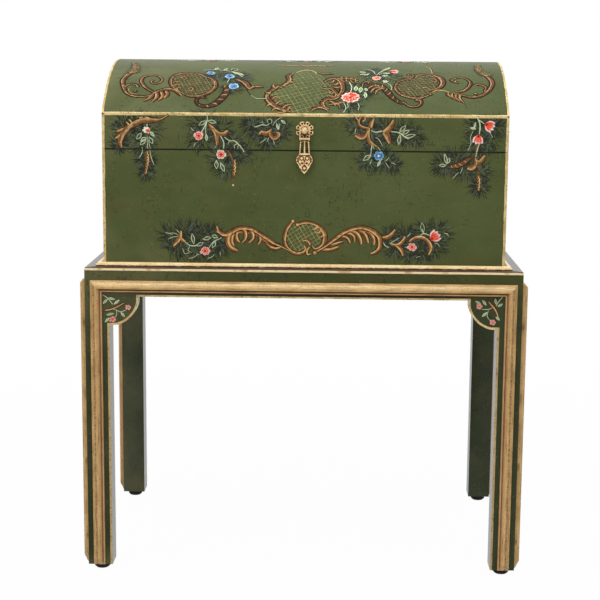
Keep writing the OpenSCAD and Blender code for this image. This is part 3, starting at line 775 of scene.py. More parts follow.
    def knob(self, centre, radius):
        """A round boss at the end of a scroll."""
        self.dab(self.edge, centre, radius + 1.2, radius + 1.2, 0.14)
        self.dab(self.body, centre, radius, radius, 0.24)
        light = (centre[0] - radius * 0.2, centre[1] + radius * 0.25)
        self.dab(self.bright, light, radius * 0.5, radius * 0.45, 0.34)

    def stem(self, points, width):
        """A pale green stalk."""
        width *= 1.15
        self.brush("celadon", points, (width * 0.6, width, width * 0.7), 0.24, crown=0.05)

    def tendrils(self, strokes):
        """Fine stems, one for each list of points."""
        for points in strokes:
            self.stem(points, 0.9)

    def leaf(self, root, tip, width, filled=False):
        """A small leaf: a dark body between two pale edges, or a pale one veined darker."""
        length = math.dist(root, tip)
        self.brush("sage" if filled else "moss", bow(root, tip, 0), (0.4, width * 0.9, 0.4), 0.2)
        for side in (1, -1):
            size = 1.5 if filled else self.random.uniform(1.1, 1.6)
            edge = bow(root, tip, side * (0.34 if filled else 0.46) * width / length)
            self.brush("celadon", edge, (0.7, size, 0.7), 0.3, crown=0.04)
        if not filled:
            vein = bow(root, tip, 0.16 * width / length)[:2]
            self.brush("sage", vein, (0.4, 0.3 * width, 0.3), 0.26, crown=0.03)
        if filled or width > 6.5:
            self.brush("celadon", bow(root, tip, 0.04)[:2], (0.7, 0.4), 0.32, crown=0.03)

    def leaves(self, ends, width=None, filled=False):
        """Leaves, each (u, v) at its root and (u, v) at its tip, and its own width if it has one."""
        for a, b, c, d, *own in ends:
            self.leaf((a, b), (c, d), own[0] if own else width, filled)

    def petal(self, centre, angle, reach, width, body, edge):
        """One petal from a flower's middle out: its colour, with streaks of the edge's colour over it."""
        root = polar(centre, 0.15 * reach, angle, 0.92)
        near = polar(centre, 0.9 * reach, angle, 0.92)
        tip = polar(centre, reach, angle, 0.92)
        self.brush(edge, bow(root, tip, 0), (0.3 * width, 0.95 * width, width, 0.55 * width), 0.3)
        self.brush(body, [root, near], (0.3 * width, 0.86 * width, 0.5 * width), 0.42, crown=0.04)
        for turn in (-0.22, 0.2):
            outer = polar(centre, 0.98 * reach, angle + turn, 0.9 / 0.98)
            inner = polar(centre, 0.5 * reach, angle + turn * 0.6, 0.92)
            self.brush(edge, [outer, inner], (0.22 * width, 0.16 * width, 0.1), 0.5, crown=0.03)

    def flower(self, centre, radius, petals, body, edge, heart, squash=1.0, turn=0.0):
        """An open flower of ragged petals with paler edges."""
        for k in range(petals):
            angle = math.radians(turn + 360 * (k + self.random.uniform(-0.12, 0.12)) / petals)
            reach = radius * self.random.uniform(0.88, 1.1)
            width = radius * 5.2 / petals * self.random.uniform(0.8, 1.0)
            self.petal(centre, angle, reach, width, body, edge)
        self.dab(heart, centre, radius * 0.26, radius * 0.22 * squash, 0.56, 20, lobes=5, depth=0.3)
        for k in range(petals):
            angle = math.radians(turn + 360 * (k + 0.5) / petals)
            self.dab("ivory", polar(centre, 0.36 * radius, angle, 0.34 / 0.36), 0.6, 0.6, 0.6)

    def tulip(self, centre, aim, size):
        """A half-open flower seen from the side, opening towards aim degrees."""
        base = polar(centre, -0.5 * size, math.radians(aim))
        for spread in (-36, 34, -12, 12):
            angle = math.radians(aim + spread)
            tip = polar(base, size * 1.1, angle)
            self.brush("blush", bow(base, tip, spread / 300), (0.4 * size, 0.5 * size, 0.12 * size), 0.3)
            short = polar(base, size * 0.8, angle)
            self.brush("coral", [base, short], (0.5 * size, 0.46 * size, 0.2 * size), 0.42)
        for spread in (-22, 0, 22):
            tip, middle, _ = bow(polar(base, size, math.radians(aim + spread)), base, 0)
            self.brush("blush", [tip, middle], (1.2, 0.7, 0.2), 0.52)
        self.dab("crimson", base, size * 0.2, size * 0.16, 0.52, aim)

    def rose(self, centre, radius):
        """A full rose: rings of petals drawn as pale curved strokes over red."""
        self.dab("blush", centre, radius, radius * 0.86, 0.24, 10, lobes=11, depth=0.12)
        self.dab("coral", centre, radius * 0.84, radius * 0.72, 0.36, 25, lobes=9, depth=0.14)
        for ring, count in ((0.86, 13), (0.66, 10), (0.46, 8), (0.26, 5)):
            for k in range(count):
                start = math.radians(360 * k / count + self.random.uniform(-14, 14) + 90 * ring)
                inner = polar(centre, (ring - 0.16) * radius, start, 0.84)
                outer = polar(centre, (ring + 0.1) * radius, start + 0.3, 0.84)
                self.brush("blush" if k % 3 else "crimson", bow(inner, outer, 0.2), (0.4, 1.5, 0.5), 0.5)
        self.dab("crimson", centre, radius * 0.16, radius * 0.12, 0.6)

    def foliage(self, spots, hairs):
        """Dark feathery greenery round each (u, v, reach) spot, its hairs pointing outwards."""
        for u, v, reach in spots:
            for _ in range(hairs):
                angle = self.random.uniform(0, 2 * math.pi)
                depth = self.random.random() ** 0.6
                root = polar((u, v), 0.74 * reach * depth, angle)
                aim = angle + self.random.uniform(-0.55, 0.55)
                tip = polar(root, self.random.uniform(8, 15) * (0.7 + 0.5 * depth), aim)
                pale = self.random.random() < 0.12
                width = (1.0, 2.3, 1.5, 0.3) if depth < 0.6 else (0.7, 1.5, 0.9, 0.2)
                self.brush("slate" if pale else "shade", bow(root, tip, self.random.uniform(-0.2, 0.2)),
                           width, 0.05 if pale else 0.02, crown=0.02, step=3.5)

    def trellis(self, outline, first, second, weight=1.0, ground=True):
        """A lattice inside a closed outline. first and second are (degrees, pitch) of its lines."""
        edge = flow(outline, 3.0, True)
        if ground:
            for k, line in enumerate(hatch(edge, 0, 2.4)):
                self.brush("olive", line, 3.0, 0.02 + 0.03 * (k % 2), crown=0.0, step=8.0)
        for degrees, pitch in (first, second):
            for line in hatch(edge, degrees, pitch):
                swell = [weight * self.random.uniform(0.3, 1.0) for _ in range(5)]
                bend = self.random.uniform(-0.012, 0.012)
                self.brush("lattice", bow(*line, bend), swell, 0.1, crown=0.03, step=4.0)

    def twig(self, points, width):
        """A hanging stalk: rust with ragged edges, gold husks on one side and a wavering cream line."""
        self.brush("umber", points, (width * 0.7, width * 0.95, width * 0.5), 0.1)
        line = flow(points, 2.2)
        for k in range(1, len(line) - 1):
            du, dv, size = span(line, k)
            du, dv = du / size, dv / size
            reach = width * self.random.uniform(0.45, 0.7) * (1 - 0.4 * k / len(line))
            for side, paint in ((1, "rust"), (-1, "ochre" if k % 2 else "rust")):
                start = (line[k][0] - du * 0.6, line[k][1] - dv * 0.6)
                tip = (start[0] - side * dv * reach + du * reach * 0.7,
                       start[1] + side * du * reach + dv * reach * 0.7)
                self.brush(paint, bow(start, tip, 0.1 * side), (0.8, 1.3, 0.4), 0.2, crown=0.04)
        wave = [(u + 0.16 * width * math.sin(1.9 * k) + 0.1 * width, v)
                for k, (u, v) in enumerate(flow(points, 1.8))]
        self.brush("cream", wave, (0.9, 1.9, 1.6, 0.8), 0.32, crown=0.05)

    def banded(self, points, width, bands):
        """A plump tail crossed by slanting bright bands between dark ones."""
        width = scaled(width, 0.5 + 0.5 * self.hand)
        self.brush(self.edge, points, scaled(width, 1, self.outline), 0.1)
        self.brush("brown" if self.edge == "bark" else "rust", points, scaled(width, 0.85), 0.2)
        line = flow(points, 1.0)
        for k in range(bands):
            t = (k + 0.5) / bands
            index = min(int(t * (len(line) - 1)), len(line) - 3)
            a, b = line[index]
            du, dv, size = span(line, index + 1)
            du, dv = du / size, dv / size
            half = along(width, t) * 0.46
            start = (a - dv * half - du * half * 0.6, b + du * half - dv * half * 0.6)
            end = (a + dv * half + du * half * 0.6, b - du * half + dv * half * 0.6)
            for gap, paint, size in ((0, "umber", 0.16), (0.42, self.bright, 0.28), (0.85, "umber", 0.1)):
                lean = half * gap
                ends = [(u + du * lean, v + dv * lean) for u, v in (start, end)]
                self.brush(paint, bow(*ends, 0.16), (0.3, max(0.8, 2 * half * size), 0.3), 0.3 + 0.05 * gap)


# Each paint's colour where it lies light and where it lies deep
TINTS = {
    "shade": ((0.031, 0.038, 0.019), (0.014, 0.018, 0.010)),
    "slate": ((0.100, 0.125, 0.085), (0.050, 0.068, 0.050)),
    "umber": ((0.058, 0.024, 0.011), (0.030, 0.012, 0.006)),
    "bark": ((0.028, 0.011, 0.006), (0.014, 0.006, 0.003)),
    "ochre": ((0.50, 0.235, 0.062), (0.33, 0.135, 0.034)),
    "cream": ((0.74, 0.53, 0.23), (0.56, 0.36, 0.135)),
    "rust": ((0.22, 0.078, 0.024), (0.135, 0.045, 0.016)),
    "brown": ((0.080, 0.034, 0.014), (0.047, 0.020, 0.009)),
    "tan": ((0.44, 0.305, 0.12), (0.24, 0.145, 0.050)),
    "sand": ((0.56, 0.40, 0.18), (0.38, 0.24, 0.095)),
    "tawny": ((0.36, 0.175, 0.054), (0.21, 0.090, 0.028)),
    "celadon": ((0.60, 0.66, 0.44), (0.40, 0.48, 0.28)),
    "sage": ((0.26, 0.36, 0.14), (0.14, 0.21, 0.08)),
    "moss": ((0.060, 0.085, 0.034), (0.030, 0.045, 0.020)),
    "olive": ((0.074, 0.064, 0.021), (0.050, 0.048, 0.016)),
    "lattice": ((0.36, 0.325, 0.125), (0.22, 0.195, 0.075)),
    "crimson": ((0.42, 0.012, 0.03), (0.25, 0.006, 0.018)),
    "coral": ((0.88, 0.12, 0.045), (0.70, 0.05, 0.02)),
    "blush": ((0.90, 0.68, 0.60), (0.82, 0.46, 0.42)),
    "cobalt": ((0.020, 0.11, 0.36), (0.008, 0.045, 0.19)),
    "sky": ((0.50, 0.80, 0.94), (0.12, 0.42, 0.72)),
    "ivory": ((0.84, 0.82, 0.70), (0.70, 0.68, 0.52)),
}
PAINTS = {name: artists_paint(f"paint_{name}", light, deep) for name, (light, deep) in TINTS.items()}
PAINTS["gilt"] = line_gilding()


def dry_paint(surface, paint, mesh):
    """Cuts a painted layer at the seam and lays each part on the body that carries it."""
    skin, carriers = SURFACES[surface]
    for body, low, high in carriers:
        part = mesh.copy()
        for level, upwards in ((low, -1), (high, 1)):
            bmesh.ops.bisect_plane(part, geom=part.verts[:] + part.edges[:] + part.faces[:],
                                   plane_co=(0, level, 0), plane_no=(0, upwards, 0), clear_outer=True)
        part.verts.index_update()
        points = [skin(*vertex.co) for vertex in part.verts]
        faces = [[vertex.index for vertex in face.verts] for face in part.faces]
        if faces:
            dry.setdefault((body, paint), []).append((points, faces))
        part.free()
    mesh.free()


# Ornament on the dome

RED = ("coral", "blush", "crimson")     # a flower's petals, their edges and its heart


def dome_end_left(p):
    p.scroll([(-311, 192), (-321, 174), (-326, 155), (-323, 136), (-317, 119), (-307, 109), (-291, 105),
              (-272, 108)], (6, 7, 6, 5, 4.5, 3.5, 2), -1)
    p.scroll([(-320, 133), (-316, 141), (-307, 143), (-299, 139), (-297, 132)], (2, 3.5, 4, 3), -1)
    p.knob((-300, 120), 3)
    p.brush("tan", [(-309, 134), (-313, 124), (-307, 114), (-298, 112)], (0.5, 1.4, 0.6), 0.3)
    plume(p, [(-312, 186), (-309, 204), (-312, 224), (-318, 250)], 1)
    p.scroll([(-268, 118), (-282, 131), (-291, 147), (-293, 160), (-288, 171), (-278, 176), (-266, 174),
              (-258, 163), (-258, 152), (-265, 145), (-273, 147), (-275, 154), (-270, 158)],
             (3, 4.5, 4.5, 3.5, 3, 2.5, 2), 1)
    p.scroll([(-218, 108), (-230, 123), (-242, 127), (-252, 125), (-262, 119), (-270, 110)],
             (3, 5, 6, 5, 2), -1)
    p.fingers([(-246, 122, -248, 101, 0.2), (-254, 119, -258, 94, 0.2), (-262, 116, -269, 90, 0.15),
               (-268, 112, -284, 92, 0.1)], 6, body="rust")


def dome_end_right(p):
    p.scroll([(258, 123), (274, 116), (287, 111), (298, 112), (308, 117), (318, 128), (325, 142),
              (328, 159), (325, 175), (318, 192)], (2, 3.5, 4.5, 5, 6, 7, 6), 1)
    p.scroll([(296, 147), (300, 152), (309, 150), (316, 142), (313, 127)], (3, 4, 4, 2), -1)
    p.knob((297, 121), 3)
    plume(p, [(320, 186), (311, 204), (308, 224), (309, 250)], 1)
    p.scroll([(270, 155), (262, 160), (256, 166), (264, 174), (274, 177), (283, 173), (289, 162),
              (289, 152), (285, 141), (277, 131), (266, 126)], (2, 3.5, 3, 3.5, 4.5, 4.5, 3), -1)
    p.knob((264, 161), 3)
    p.fingers([(248, 124, 252, 112, -0.15), (255, 122, 260, 105, -0.2), (262, 121, 268, 99, -0.2),
               (268, 119, 275, 95, -0.15)], 5)
    p.brush("umber", [(274, 97), (278, 88), (281, 79)], (1.2, 0.9, 0.4), 0.1)


def plume(p, points, side):
    """A feathery tuft that grows out of a scroll, with barbs on one side."""
    p.brush("umber", points, (5, 7, 8, 2), 0.08)
    line = flow(points, 5.0)
    for k, (u, v) in enumerate(line[:-1]):
        reach = 11 - 0.5 * k
        for lean in (side, -side):
            barb = bow((u, v), (u - lean * reach * 1.3, v + 5), 0.25 * lean)
            light = bow((u, v + 1), (u - lean * reach * 0.6, v + 7), 0.25 * lean)
            p.brush("umber", barb, (1.8, 1.6, 0.3), 0.12)
            p.brush("tan", light, (1.2, 1.2, 0.3), 0.3)
    p.brush("rust", points, (2.5, 3.0, 1.0), 0.22)


def dome_trellis_left(p):
    p.trellis([(-213, 112), (-227, 122), (-237, 137), (-240, 154), (-236, 172), (-226, 182), (-208, 185),
               (-192, 182), (-178, 167), (-166, 155), (-162, 141), (-166, 128), (-178, 114), (-196, 109)],
              (-68, 6.5), (18, 6.5), weight=0.6)
    p.scroll([(-215, 114), (-227, 124), (-237, 137), (-241, 154), (-238, 173), (-228, 184), (-214, 187),
              (-194, 186), (-178, 169)], (2, 3.5, 4, 4, 4.5, 4, 3), -1)
    p.scroll([(-182, 172), (-172, 168), (-163, 156), (-160, 142), (-163, 128), (-172, 116), (-186, 108),
              (-202, 107), (-212, 112)], (2, 5, 6, 5, 4, 3), -1)
    p.scroll([(-226, 168), (-216, 172), (-212, 164), (-219, 158)], (2.5, 3.5, 2.5), -1)
    p.scroll([(-208, 131), (-201, 133), (-198, 126), (-204, 121)], (2, 3.5, 2.5), -1)
    p.fingers([(-236, 150, -224, 152), (-235, 138, -222, 143), (-229, 127, -219, 134)], 4, 0.25)


def dome_trellis_right(p):
    p.trellis([(160, 140), (163, 155), (174, 164), (190, 171), (200, 186), (213, 187), (228, 176),
               (235, 160), (230, 144), (218, 128), (208, 114), (194, 111), (180, 112), (168, 119)],
              (-62, 6.5), (16, 6.5), weight=0.6)
    p.scroll([(214, 116), (204, 110), (194, 108), (181, 110), (168, 117), (160, 127), (157, 140),
              (162, 156), (174, 166), (186, 170)], (3, 5, 5, 4, 3.5, 2.5), 1)
    p.scroll([(169, 176), (178, 172), (188, 177), (190, 187), (183, 191), (180, 185)], (2, 3.5, 3.5, 2), 1)
    p.scroll([(193, 174), (197, 186), (206, 190), (218, 186), (229, 177)], (3, 4, 4, 3), -1)
    p.scroll([(224, 190), (236, 177), (241, 161), (238, 146), (229, 135), (215, 130)], (3, 8, 8, 6, 3), -1)
    p.scroll([(222, 172), (230, 168), (229, 158), (222, 160)], (2, 3.5, 2), -1)
    p.finger((213, 141), (203, 137), -0.2, 4)
    p.knob((218, 118), 3)
    p.brush("cream", [(221, 125), (230, 131), (242, 130), (251, 125)], (0.8, 1.4, 1.0), 0.24)
    p.brush("umber", [(225, 193), (225, 215), (219, 236), (208, 256)], (2.4, 1.8, 1.0), 0.08)
    p.brush("cream", [(224, 194), (223, 215), (217, 235), (207, 254)], (1.0, 0.9, 0.5), 0.2)


def dome_tails(p):
    """The banded tails beside the middle cartouche, and the branch that ties in the blue flowers."""
    p.banded([(-173, 103), (-186, 104), (-191, 95), (-187, 85), (-177, 81), (-166, 82), (-156, 89),
              (-147, 102), (-141, 116), (-140, 130), (-145, 142)], (3, 4, 4, 6, 9, 10, 10, 9, 5), 9)
    p.scroll([(-127, 163), (-116, 158), (-107, 148), (-102, 136), (-98, 129)], (3, 6, 9, 9, 3), -1)
    p.scroll([(-99, 131), (-91, 137), (-83, 137), (-75, 139)], (4, 5, 5, 4), 1)
    p.brush("umber", [(-106, 138), (-103, 124), (-97, 112), (-88, 103), (-78, 101), (-68, 102)],
            (2.5, 2, 1.6, 1), 0.1)
    p.brush("celadon", [(-96, 111), (-87, 103), (-78, 102), (-69, 103)], (0.6, 1.1, 0.7), 0.26)
    p.scroll([(99, 140), (100, 151), (106, 159), (115, 157)], (2, 3, 2), -1)
    p.banded([(104, 157), (118, 148), (131, 143), (140, 130), (149, 112), (158, 100), (167, 94), (174, 97)],
             (4, 8, 10, 10, 8, 6, 5), 8)
    p.fingers([(134, 142, 113, 122), (137, 138, 121, 118), (128, 146, 108, 133)], 5, -0.2)
    p.scroll([(172, 93), (180, 85), (192, 84), (200, 91), (200, 101), (194, 103)], (2, 2.5, 3.5, 4.5), 1)
    p.knob((194, 101), 4)


def dome_cartouche(p):
    """The trellis cartouche in the middle of the dome."""
    p.trellis([(-18, 192), (0, 201), (14, 197), (24, 188), (30, 170), (38, 152), (46, 140), (48, 122),
               (44, 106), (36, 92), (24, 82), (8, 70), (-14, 66), (-30, 70), (-46, 86), (-60, 104),
               (-58, 120), (-42, 134), (-32, 150), (-25, 172)], (-66, 8), (22, 9), weight=0.85,
              ground=False)
    p.brush("cream", [(-19, 193), (-8, 204), (4, 206), (14, 198), (18, 187)], (1, 2.2, 1.2), 0.26)
    p.scroll([(-24, 190), (-32, 178), (-30, 163), (-36, 148), (-44, 140)], (3, 8, 7, 5, 4), 1)
    p.scroll([(-40, 133), (-50, 140), (-56, 132), (-64, 122), (-68, 110)], (3, 6, 7, 6, 4), 1)
    p.scroll([(-68, 114), (-67, 102), (-60, 90), (-50, 80), (-38, 73), (-26, 70)], (5, 8, 9, 8, 6, 3), -1)
    p.fingers([(-30, 166, -18, 148, -0.25), (-40, 140, -33, 152, 0.2), (-54, 132, -58, 145, 0.2),
               (-62, 118, -72, 122, 0.2), (-60, 100, -47, 110, 0.2), (-52, 88, -38, 97, 0.2),
               (-40, 78, -26, 88, 0.2), (-58, 88, -68, 82, -0.2), (-48, 78, -58, 71, -0.2),
               (-32, 72, -22, 84, 0.2), (-34, 68, -50, 67, 0.1)], 5)
    p.scroll([(18, 197), (28, 189), (38, 189), (48, 191)], (2.5, 5, 5, 3), 1)
    p.scroll([(31, 156), (40, 167), (51, 170), (59, 161), (64, 142), (63, 124), (56, 110)],
             (3, 6, 8, 8, 7, 5), -1)
    p.scroll([(29, 133), (40, 135), (49, 128), (54, 115), (49, 108), (40, 112)], (2.5, 5, 6, 5, 3), -1)
    p.scroll([(58, 110), (48, 103), (36, 102), (29, 92), (32, 82), (40, 76)], (4, 6, 6, 6, 3), 1)
    p.scroll([(66, 96), (58, 93), (48, 90), (40, 88)], (3, 6, 5, 2), 1)
    p.scroll([(10, 72), (18, 80), (29, 81), (40, 73)], (3, 7, 7, 3), -1)
    p.fingers([(50, 164, 38, 154, 0.3), (57, 154, 44, 146, 0.3), (60, 140, 49, 138, 0.3),
               (50, 122, 40, 120, 0.3), (42, 98, 52, 84, 0.2), (52, 92, 60, 80, 0.2)], 4.5)
    p.scroll([(54, 170), (66, 171), (78, 171), (92, 161)], (3, 5, 5, 2), -1)
    for u in (62, 70, 78, 86):
        p.finger((u, 170 - (u - 62) / 4), (u + 3, 180 - (u - 62) / 3), 0.2, 3.5)
        p.finger((u, 168 - (u - 62) / 4), (u + 6, 157 - (u - 62) / 5), -0.2, 3.5)


def dome_flowers(p):
    p.foliage([(-158, 186, 26), (-132, 178, 26), (-118, 165, 22), (-131, 132, 18), (-172, 170, 16)], 133)
    p.stem([(-186, 202), (-166, 205), (-151, 202), (-138, 198), (-126, 190), (-114, 172)], 1.4)
    p.brush("celadon", coil((-130, 206), 6, 200, -300, 0.9), 1.0, 0.27)
    p.leaves([(-134, 196, -122, 184), (-126, 192, -112, 178), (-150, 202, -143, 212),
              (-166, 205, -160, 215)], 7, True)
    p.stem([(-137, 172), (-138, 160), (-141, 150)], 1.0)
    for spot, radius in (((-172, 188), 8), ((-137, 174), 9), ((-128, 138), 9.5)):
        p.flower(spot, radius, 6, "cobalt", "sky", "cobalt", 0.95)
    p.foliage([(88, 132, 22), (100, 118, 18), (76, 84, 18), (116, 186, 24), (146, 176, 22),
               (128, 200, 20)], 114)
    p.stem([(78, 122), (80, 140), (75, 158)], 1.5)
    p.leaves([(88, 143, 87, 126, 9), (97, 140, 95, 122, 9), (104, 136, 107, 127, 7),
              (104, 124, 104, 106, 7)], filled=True)
    p.rose((78, 108), 17)
    p.tendrils([[(72, 92), (74, 82), (68, 76)], [(66, 94), (70, 80), (66, 68)],
                [(90, 94), (93, 84), (91, 74)]])
    p.stem([(124, 184), (130, 196), (139, 208), (150, 222)], 1.2)
    p.stem([(128, 186), (140, 197), (152, 201)], 1.1)
    p.stem([(100, 214), (110, 214), (118, 204), (123, 188)], 1.1)
    p.leaves([(132, 200, 150, 226, 5), (136, 190, 149, 194, 4), (106, 196, 94, 200, 6),
              (105, 190, 95, 186, 5), (112, 192, 103, 183, 4), (134, 182, 146, 182, 4)], filled=True)
    p.flower((124, 172), 8.5, 5, *RED, 0.95, 20)
    p.tulip((157, 203), 10, 12)
    p.flower((140, 159), 5, 5, "sage", "ivory", "cream")
    p.stem([(144, 153), (150, 142), (149, 130)], 1.0)


def crest_flowers(p):
    """Plain flowers, leaves and a low scroll along the crest."""
    p.scroll([(-52, 232), (-30, 226), (-12, 230), (0, 224), (12, 230), (30, 226), (52, 232)],
             (2, 4, 3, 5, 3, 4, 2), 1)
    p.foliage([(u, CREST_V - 22, 20) for u in (-180, -40, 0, 40, 180)], 64)
    for centre in (-180, 0, 180):
        p.stem([(centre - 62, CREST_V - 14), (centre - 30, CREST_V - 28), (centre, CREST_V - 22),
                (centre + 30, CREST_V - 28), (centre + 62, CREST_V - 14)], 1.6)
        for k in (-2, -1, 1, 2):
            root = (centre + 22 * k, CREST_V - 25)
            p.leaf(root, (root[0] + 9, root[1] + 14), 6, True)
            p.leaf(root, (root[0] - 6, root[1] - 12), 6)
        p.flower((centre, CREST_V - 20), 10, 6, *RED)
        for side in (-1, 1):
            p.flower((centre + side * 34, CREST_V - 30), 6, 5, "cream", "blush", "rust")


# Ornament below the dome: five sprays that cross the seam

def spray_one(p):
    p.foliage([(-312, 34, 26), (-290, 42, 26), (-272, 30, 26), (-282, 10, 20), (-322, 8, 14),
               (-277, -20, 17), (-276, -38, 14)], 117)
    p.finger((-302, 41), (-328, 30), 0.1, 9)
    p.finger((-308, 36), (-330, 18), 0.1, 8, 0.08)
    p.scroll([(-300, 42), (-308, 37), (-316, 28), (-320, 19), (-322, 11), (-319, 2)], (8, 8, 8, 8, 6, 2),
             1, 0.16)
    p.scroll([(-237, 60), (-244, 55), (-252, 51), (-262, 50), (-273, 50), (-284, 49), (-292, 46),
              (-301, 41), (-307, 36)], (1.2, 2, 4, 6.5, 8, 8, 8, 8, 5), -1, 0.24)
    for root, tip in (((-288, 54), (-282, 55)), ((-301, 46), (-306, 51)), ((-306, 42), (-311, 47)),
                      ((-278, 55), (-271, 54))):
        p.brush("cream", [root, tip], (1.8, 1.2), 0.5)
    p.stem([(-274, 45), (-275, 39)], 1.4)
    p.flower((-276, 33), 7, 6, "ivory", "ivory", "coral")
    p.dab("coral", (-273, 32), 3.6, 3.2, 0.62, 0, lobes=5, depth=0.15)
    p.leaf((-270, 31), (-262, 22), 6, True)
    p.leaves([(-284, 28, -293, 17), (-276, 20, -286, 14), (-276, 18, -287, 7), (-271, 21, -265, 9)], 6.5)
    p.tendrils([[(-274, 22), (-274, 10), (-274, 1)], [(-273, 16), (-271, 8), (-269, 1)],
                [(-283, 3), (-284, -7), (-289, -15)], [(-270, -2), (-268, -14), (-263, -27)]])
    p.twig([(-275, -3), (-274, -12), (-274, -22), (-276, -32), (-278, -43)], 7)
    p.brush("umber", [(-278, -42), (-278, -50), (-277, -57)], (2, 1.6, 0.6), 0.12)


def spray_two(p):
    p.foliage([(-176, 44, 30), (-182, 20, 26), (-152, 34, 26), (-126, 12, 26), (-146, -14, 26),
               (-140, -32, 20), (-112, -6, 18)], 121)
    p.stem([(-170, 60), (-170, 50), (-176, 37), (-181, 29)], 1.8)
    p.stem([(-171, 46), (-173, 36), (-172, 27)], 1.1)
    p.leaves([(-171, 50, -185, 42), (-169, 50, -154, 47)], 6)
    p.flower((-185, 24), 8.5, 5, *RED, 1.0, 30)
    p.leaf((-172, 27), (-171, 15), 6, True)
    p.scroll([(-168, 44), (-163, 39), (-154, 30), (-147, 27), (-140, 28), (-134, 33)], (3, 6, 7, 6, 4), 1)
    p.scroll([(-160, 36), (-155, 28), (-153, 18), (-153, 8)], (4, 6, 6, 3), -1)
    p.stem([(-147, 24), (-142, 15), (-141, 8), (-142, 2)], 1.6)
    p.stem([(-140, 22), (-131, 16), (-123, 16), (-117, 11), (-111, 5), (-106, -3)], 1.5)
    p.tendrils([[(-117, 11), (-123, 8), (-122, 3)], [(-131, 16), (-134, 10)], [(-116, 10), (-117, 2)],
                [(-193, 32), (-199, 38)], [(-190, 12), (-194, 6)], [(-154, 6), (-157, 4)]])
    p.flower((-146, -8), 9, 6, "coral", "ivory", "crimson")
    p.leaves([(-154, -18, -154, -33, 7), (-147, -22, -140, -38, 6)])
    p.brush("rust", [(-139, -1), (-133, -2), (-129, -10), (-126, -17), (-123, -20)], (2, 3, 4), 0.16)
    p.brush("tawny", [(-137, -2), (-133, -3), (-129, -10), (-126, -17)], (0.6, 1.2, 1.4), 0.26)
    p.twig([(-123, -17), (-122, -31), (-124, -44)], 6.5)
    p.brush("rust", [(-124, -40), (-125, -50), (-125, -58)], (2.2, 1.6, 1.2), 0.18)
    p.dab("celadon", (-125, -61), 1.7, 1.7, 0.3)


def spray_three(p):
    p.foliage([(-82, 36, 22), (-56, 38, 22), (-66, 20, 20), (-92, 44, 16), (-42, 34, 16)], 121)
    p.stem([(-88, 40), (-80, 42), (-75, 44), (-67, 43), (-62, 46)], 1.6)
    p.tendrils([coil((-62, 50), 4.5, -60, 300, 0.8), [(-73, 45), (-74, 49), (-78, 47)],
                [(-56, 42), (-54, 47), (-48, 53), (-40, 57)], [(-50, 48), (-46, 37), (-44, 46)]])
    p.leaves([(-42, 52, -34, 46, 5), (-50, 46, -46, 35, 4)], filled=True)
    p.scroll([(-58, 36), (-64, 30), (-70, 29), (-76, 31), (-79, 27)], (3, 6, 7, 6, 3), -1)
    p.scroll([(-60, 35), (-60, 27), (-55, 21), (-48, 23), (-45, 29), (-50, 30)], (3, 5, 6, 5, 3), -1)
    p.tendrils([[(-67, 21), (-73, 16), (-78, 12)], [(-63, 22), (-66, 15)], [(-55, 18), (-53, 10)]])


def spray_four(p):
    p.foliage([(92, 42, 22), (112, 34, 24), (140, 34, 26), (168, 32, 28), (190, 26, 16), (118, 12, 18),
               (110, -16, 18), (136, -14, 22), (152, -22, 14)], 114)
    p.scroll([(85, 60), (91, 53), (93, 46), (100, 41), (110, 39)], (2, 3, 4, 4), 1)
    p.scroll([(93, 49), (95, 57), (101, 60), (104, 55), (99, 51)], (2, 3, 2.5), -1)
    p.scroll([(110, 40), (109, 28), (111, 18), (117, 12), (125, 8)], (4, 5, 6, 2), 1)
    p.finger((113, 41), (119, 57), 0.1, 7)
    p.scroll([(108, 36), (105, 28), (98, 24), (91, 26), (87, 28)], (3, 4, 8, 8, 5), 1)
    p.stem([(114, 36), (122, 33), (133, 35)], 1.7)
    p.scroll([(136, 32), (145, 39), (150, 47), (153, 54)], (7, 9, 7, 4), 1)
    p.scroll([(137, 33), (142, 26), (147, 14)], (8, 9, 4), -1)
    p.stem([(149, 34), (160, 33), (168, 29), (174, 24), (180, 22)], 1.8)
    p.leaves([(163, 33, 174, 45), (168, 30, 180, 37), (172, 25, 191, 29), (164, 29, 162, 12)], 6)
    p.stem([(116, 12), (115, 3), (114, -6)], 1.5)
    p.leaf((115, -6), (101, -16), 7)
    p.flower((128, -8), 8.5, 6, "cobalt", "sky", "ivory")
    p.leaf((131, -16), (126, -26), 5, True)
    p.tendrils([[(138, -17), (142, -15), (146, -10)], [(140, -19), (143, -24), (146, -28)],
                [(150, -20), (154, -20), (158, -23)], [(117, 10), (120, 4)], [(126, 7), (131, 2)],
                [(122, 24), (128, 20), (134, 10)], [(116, -14), (113, -22)], [(88, 40), (86, 30)]])


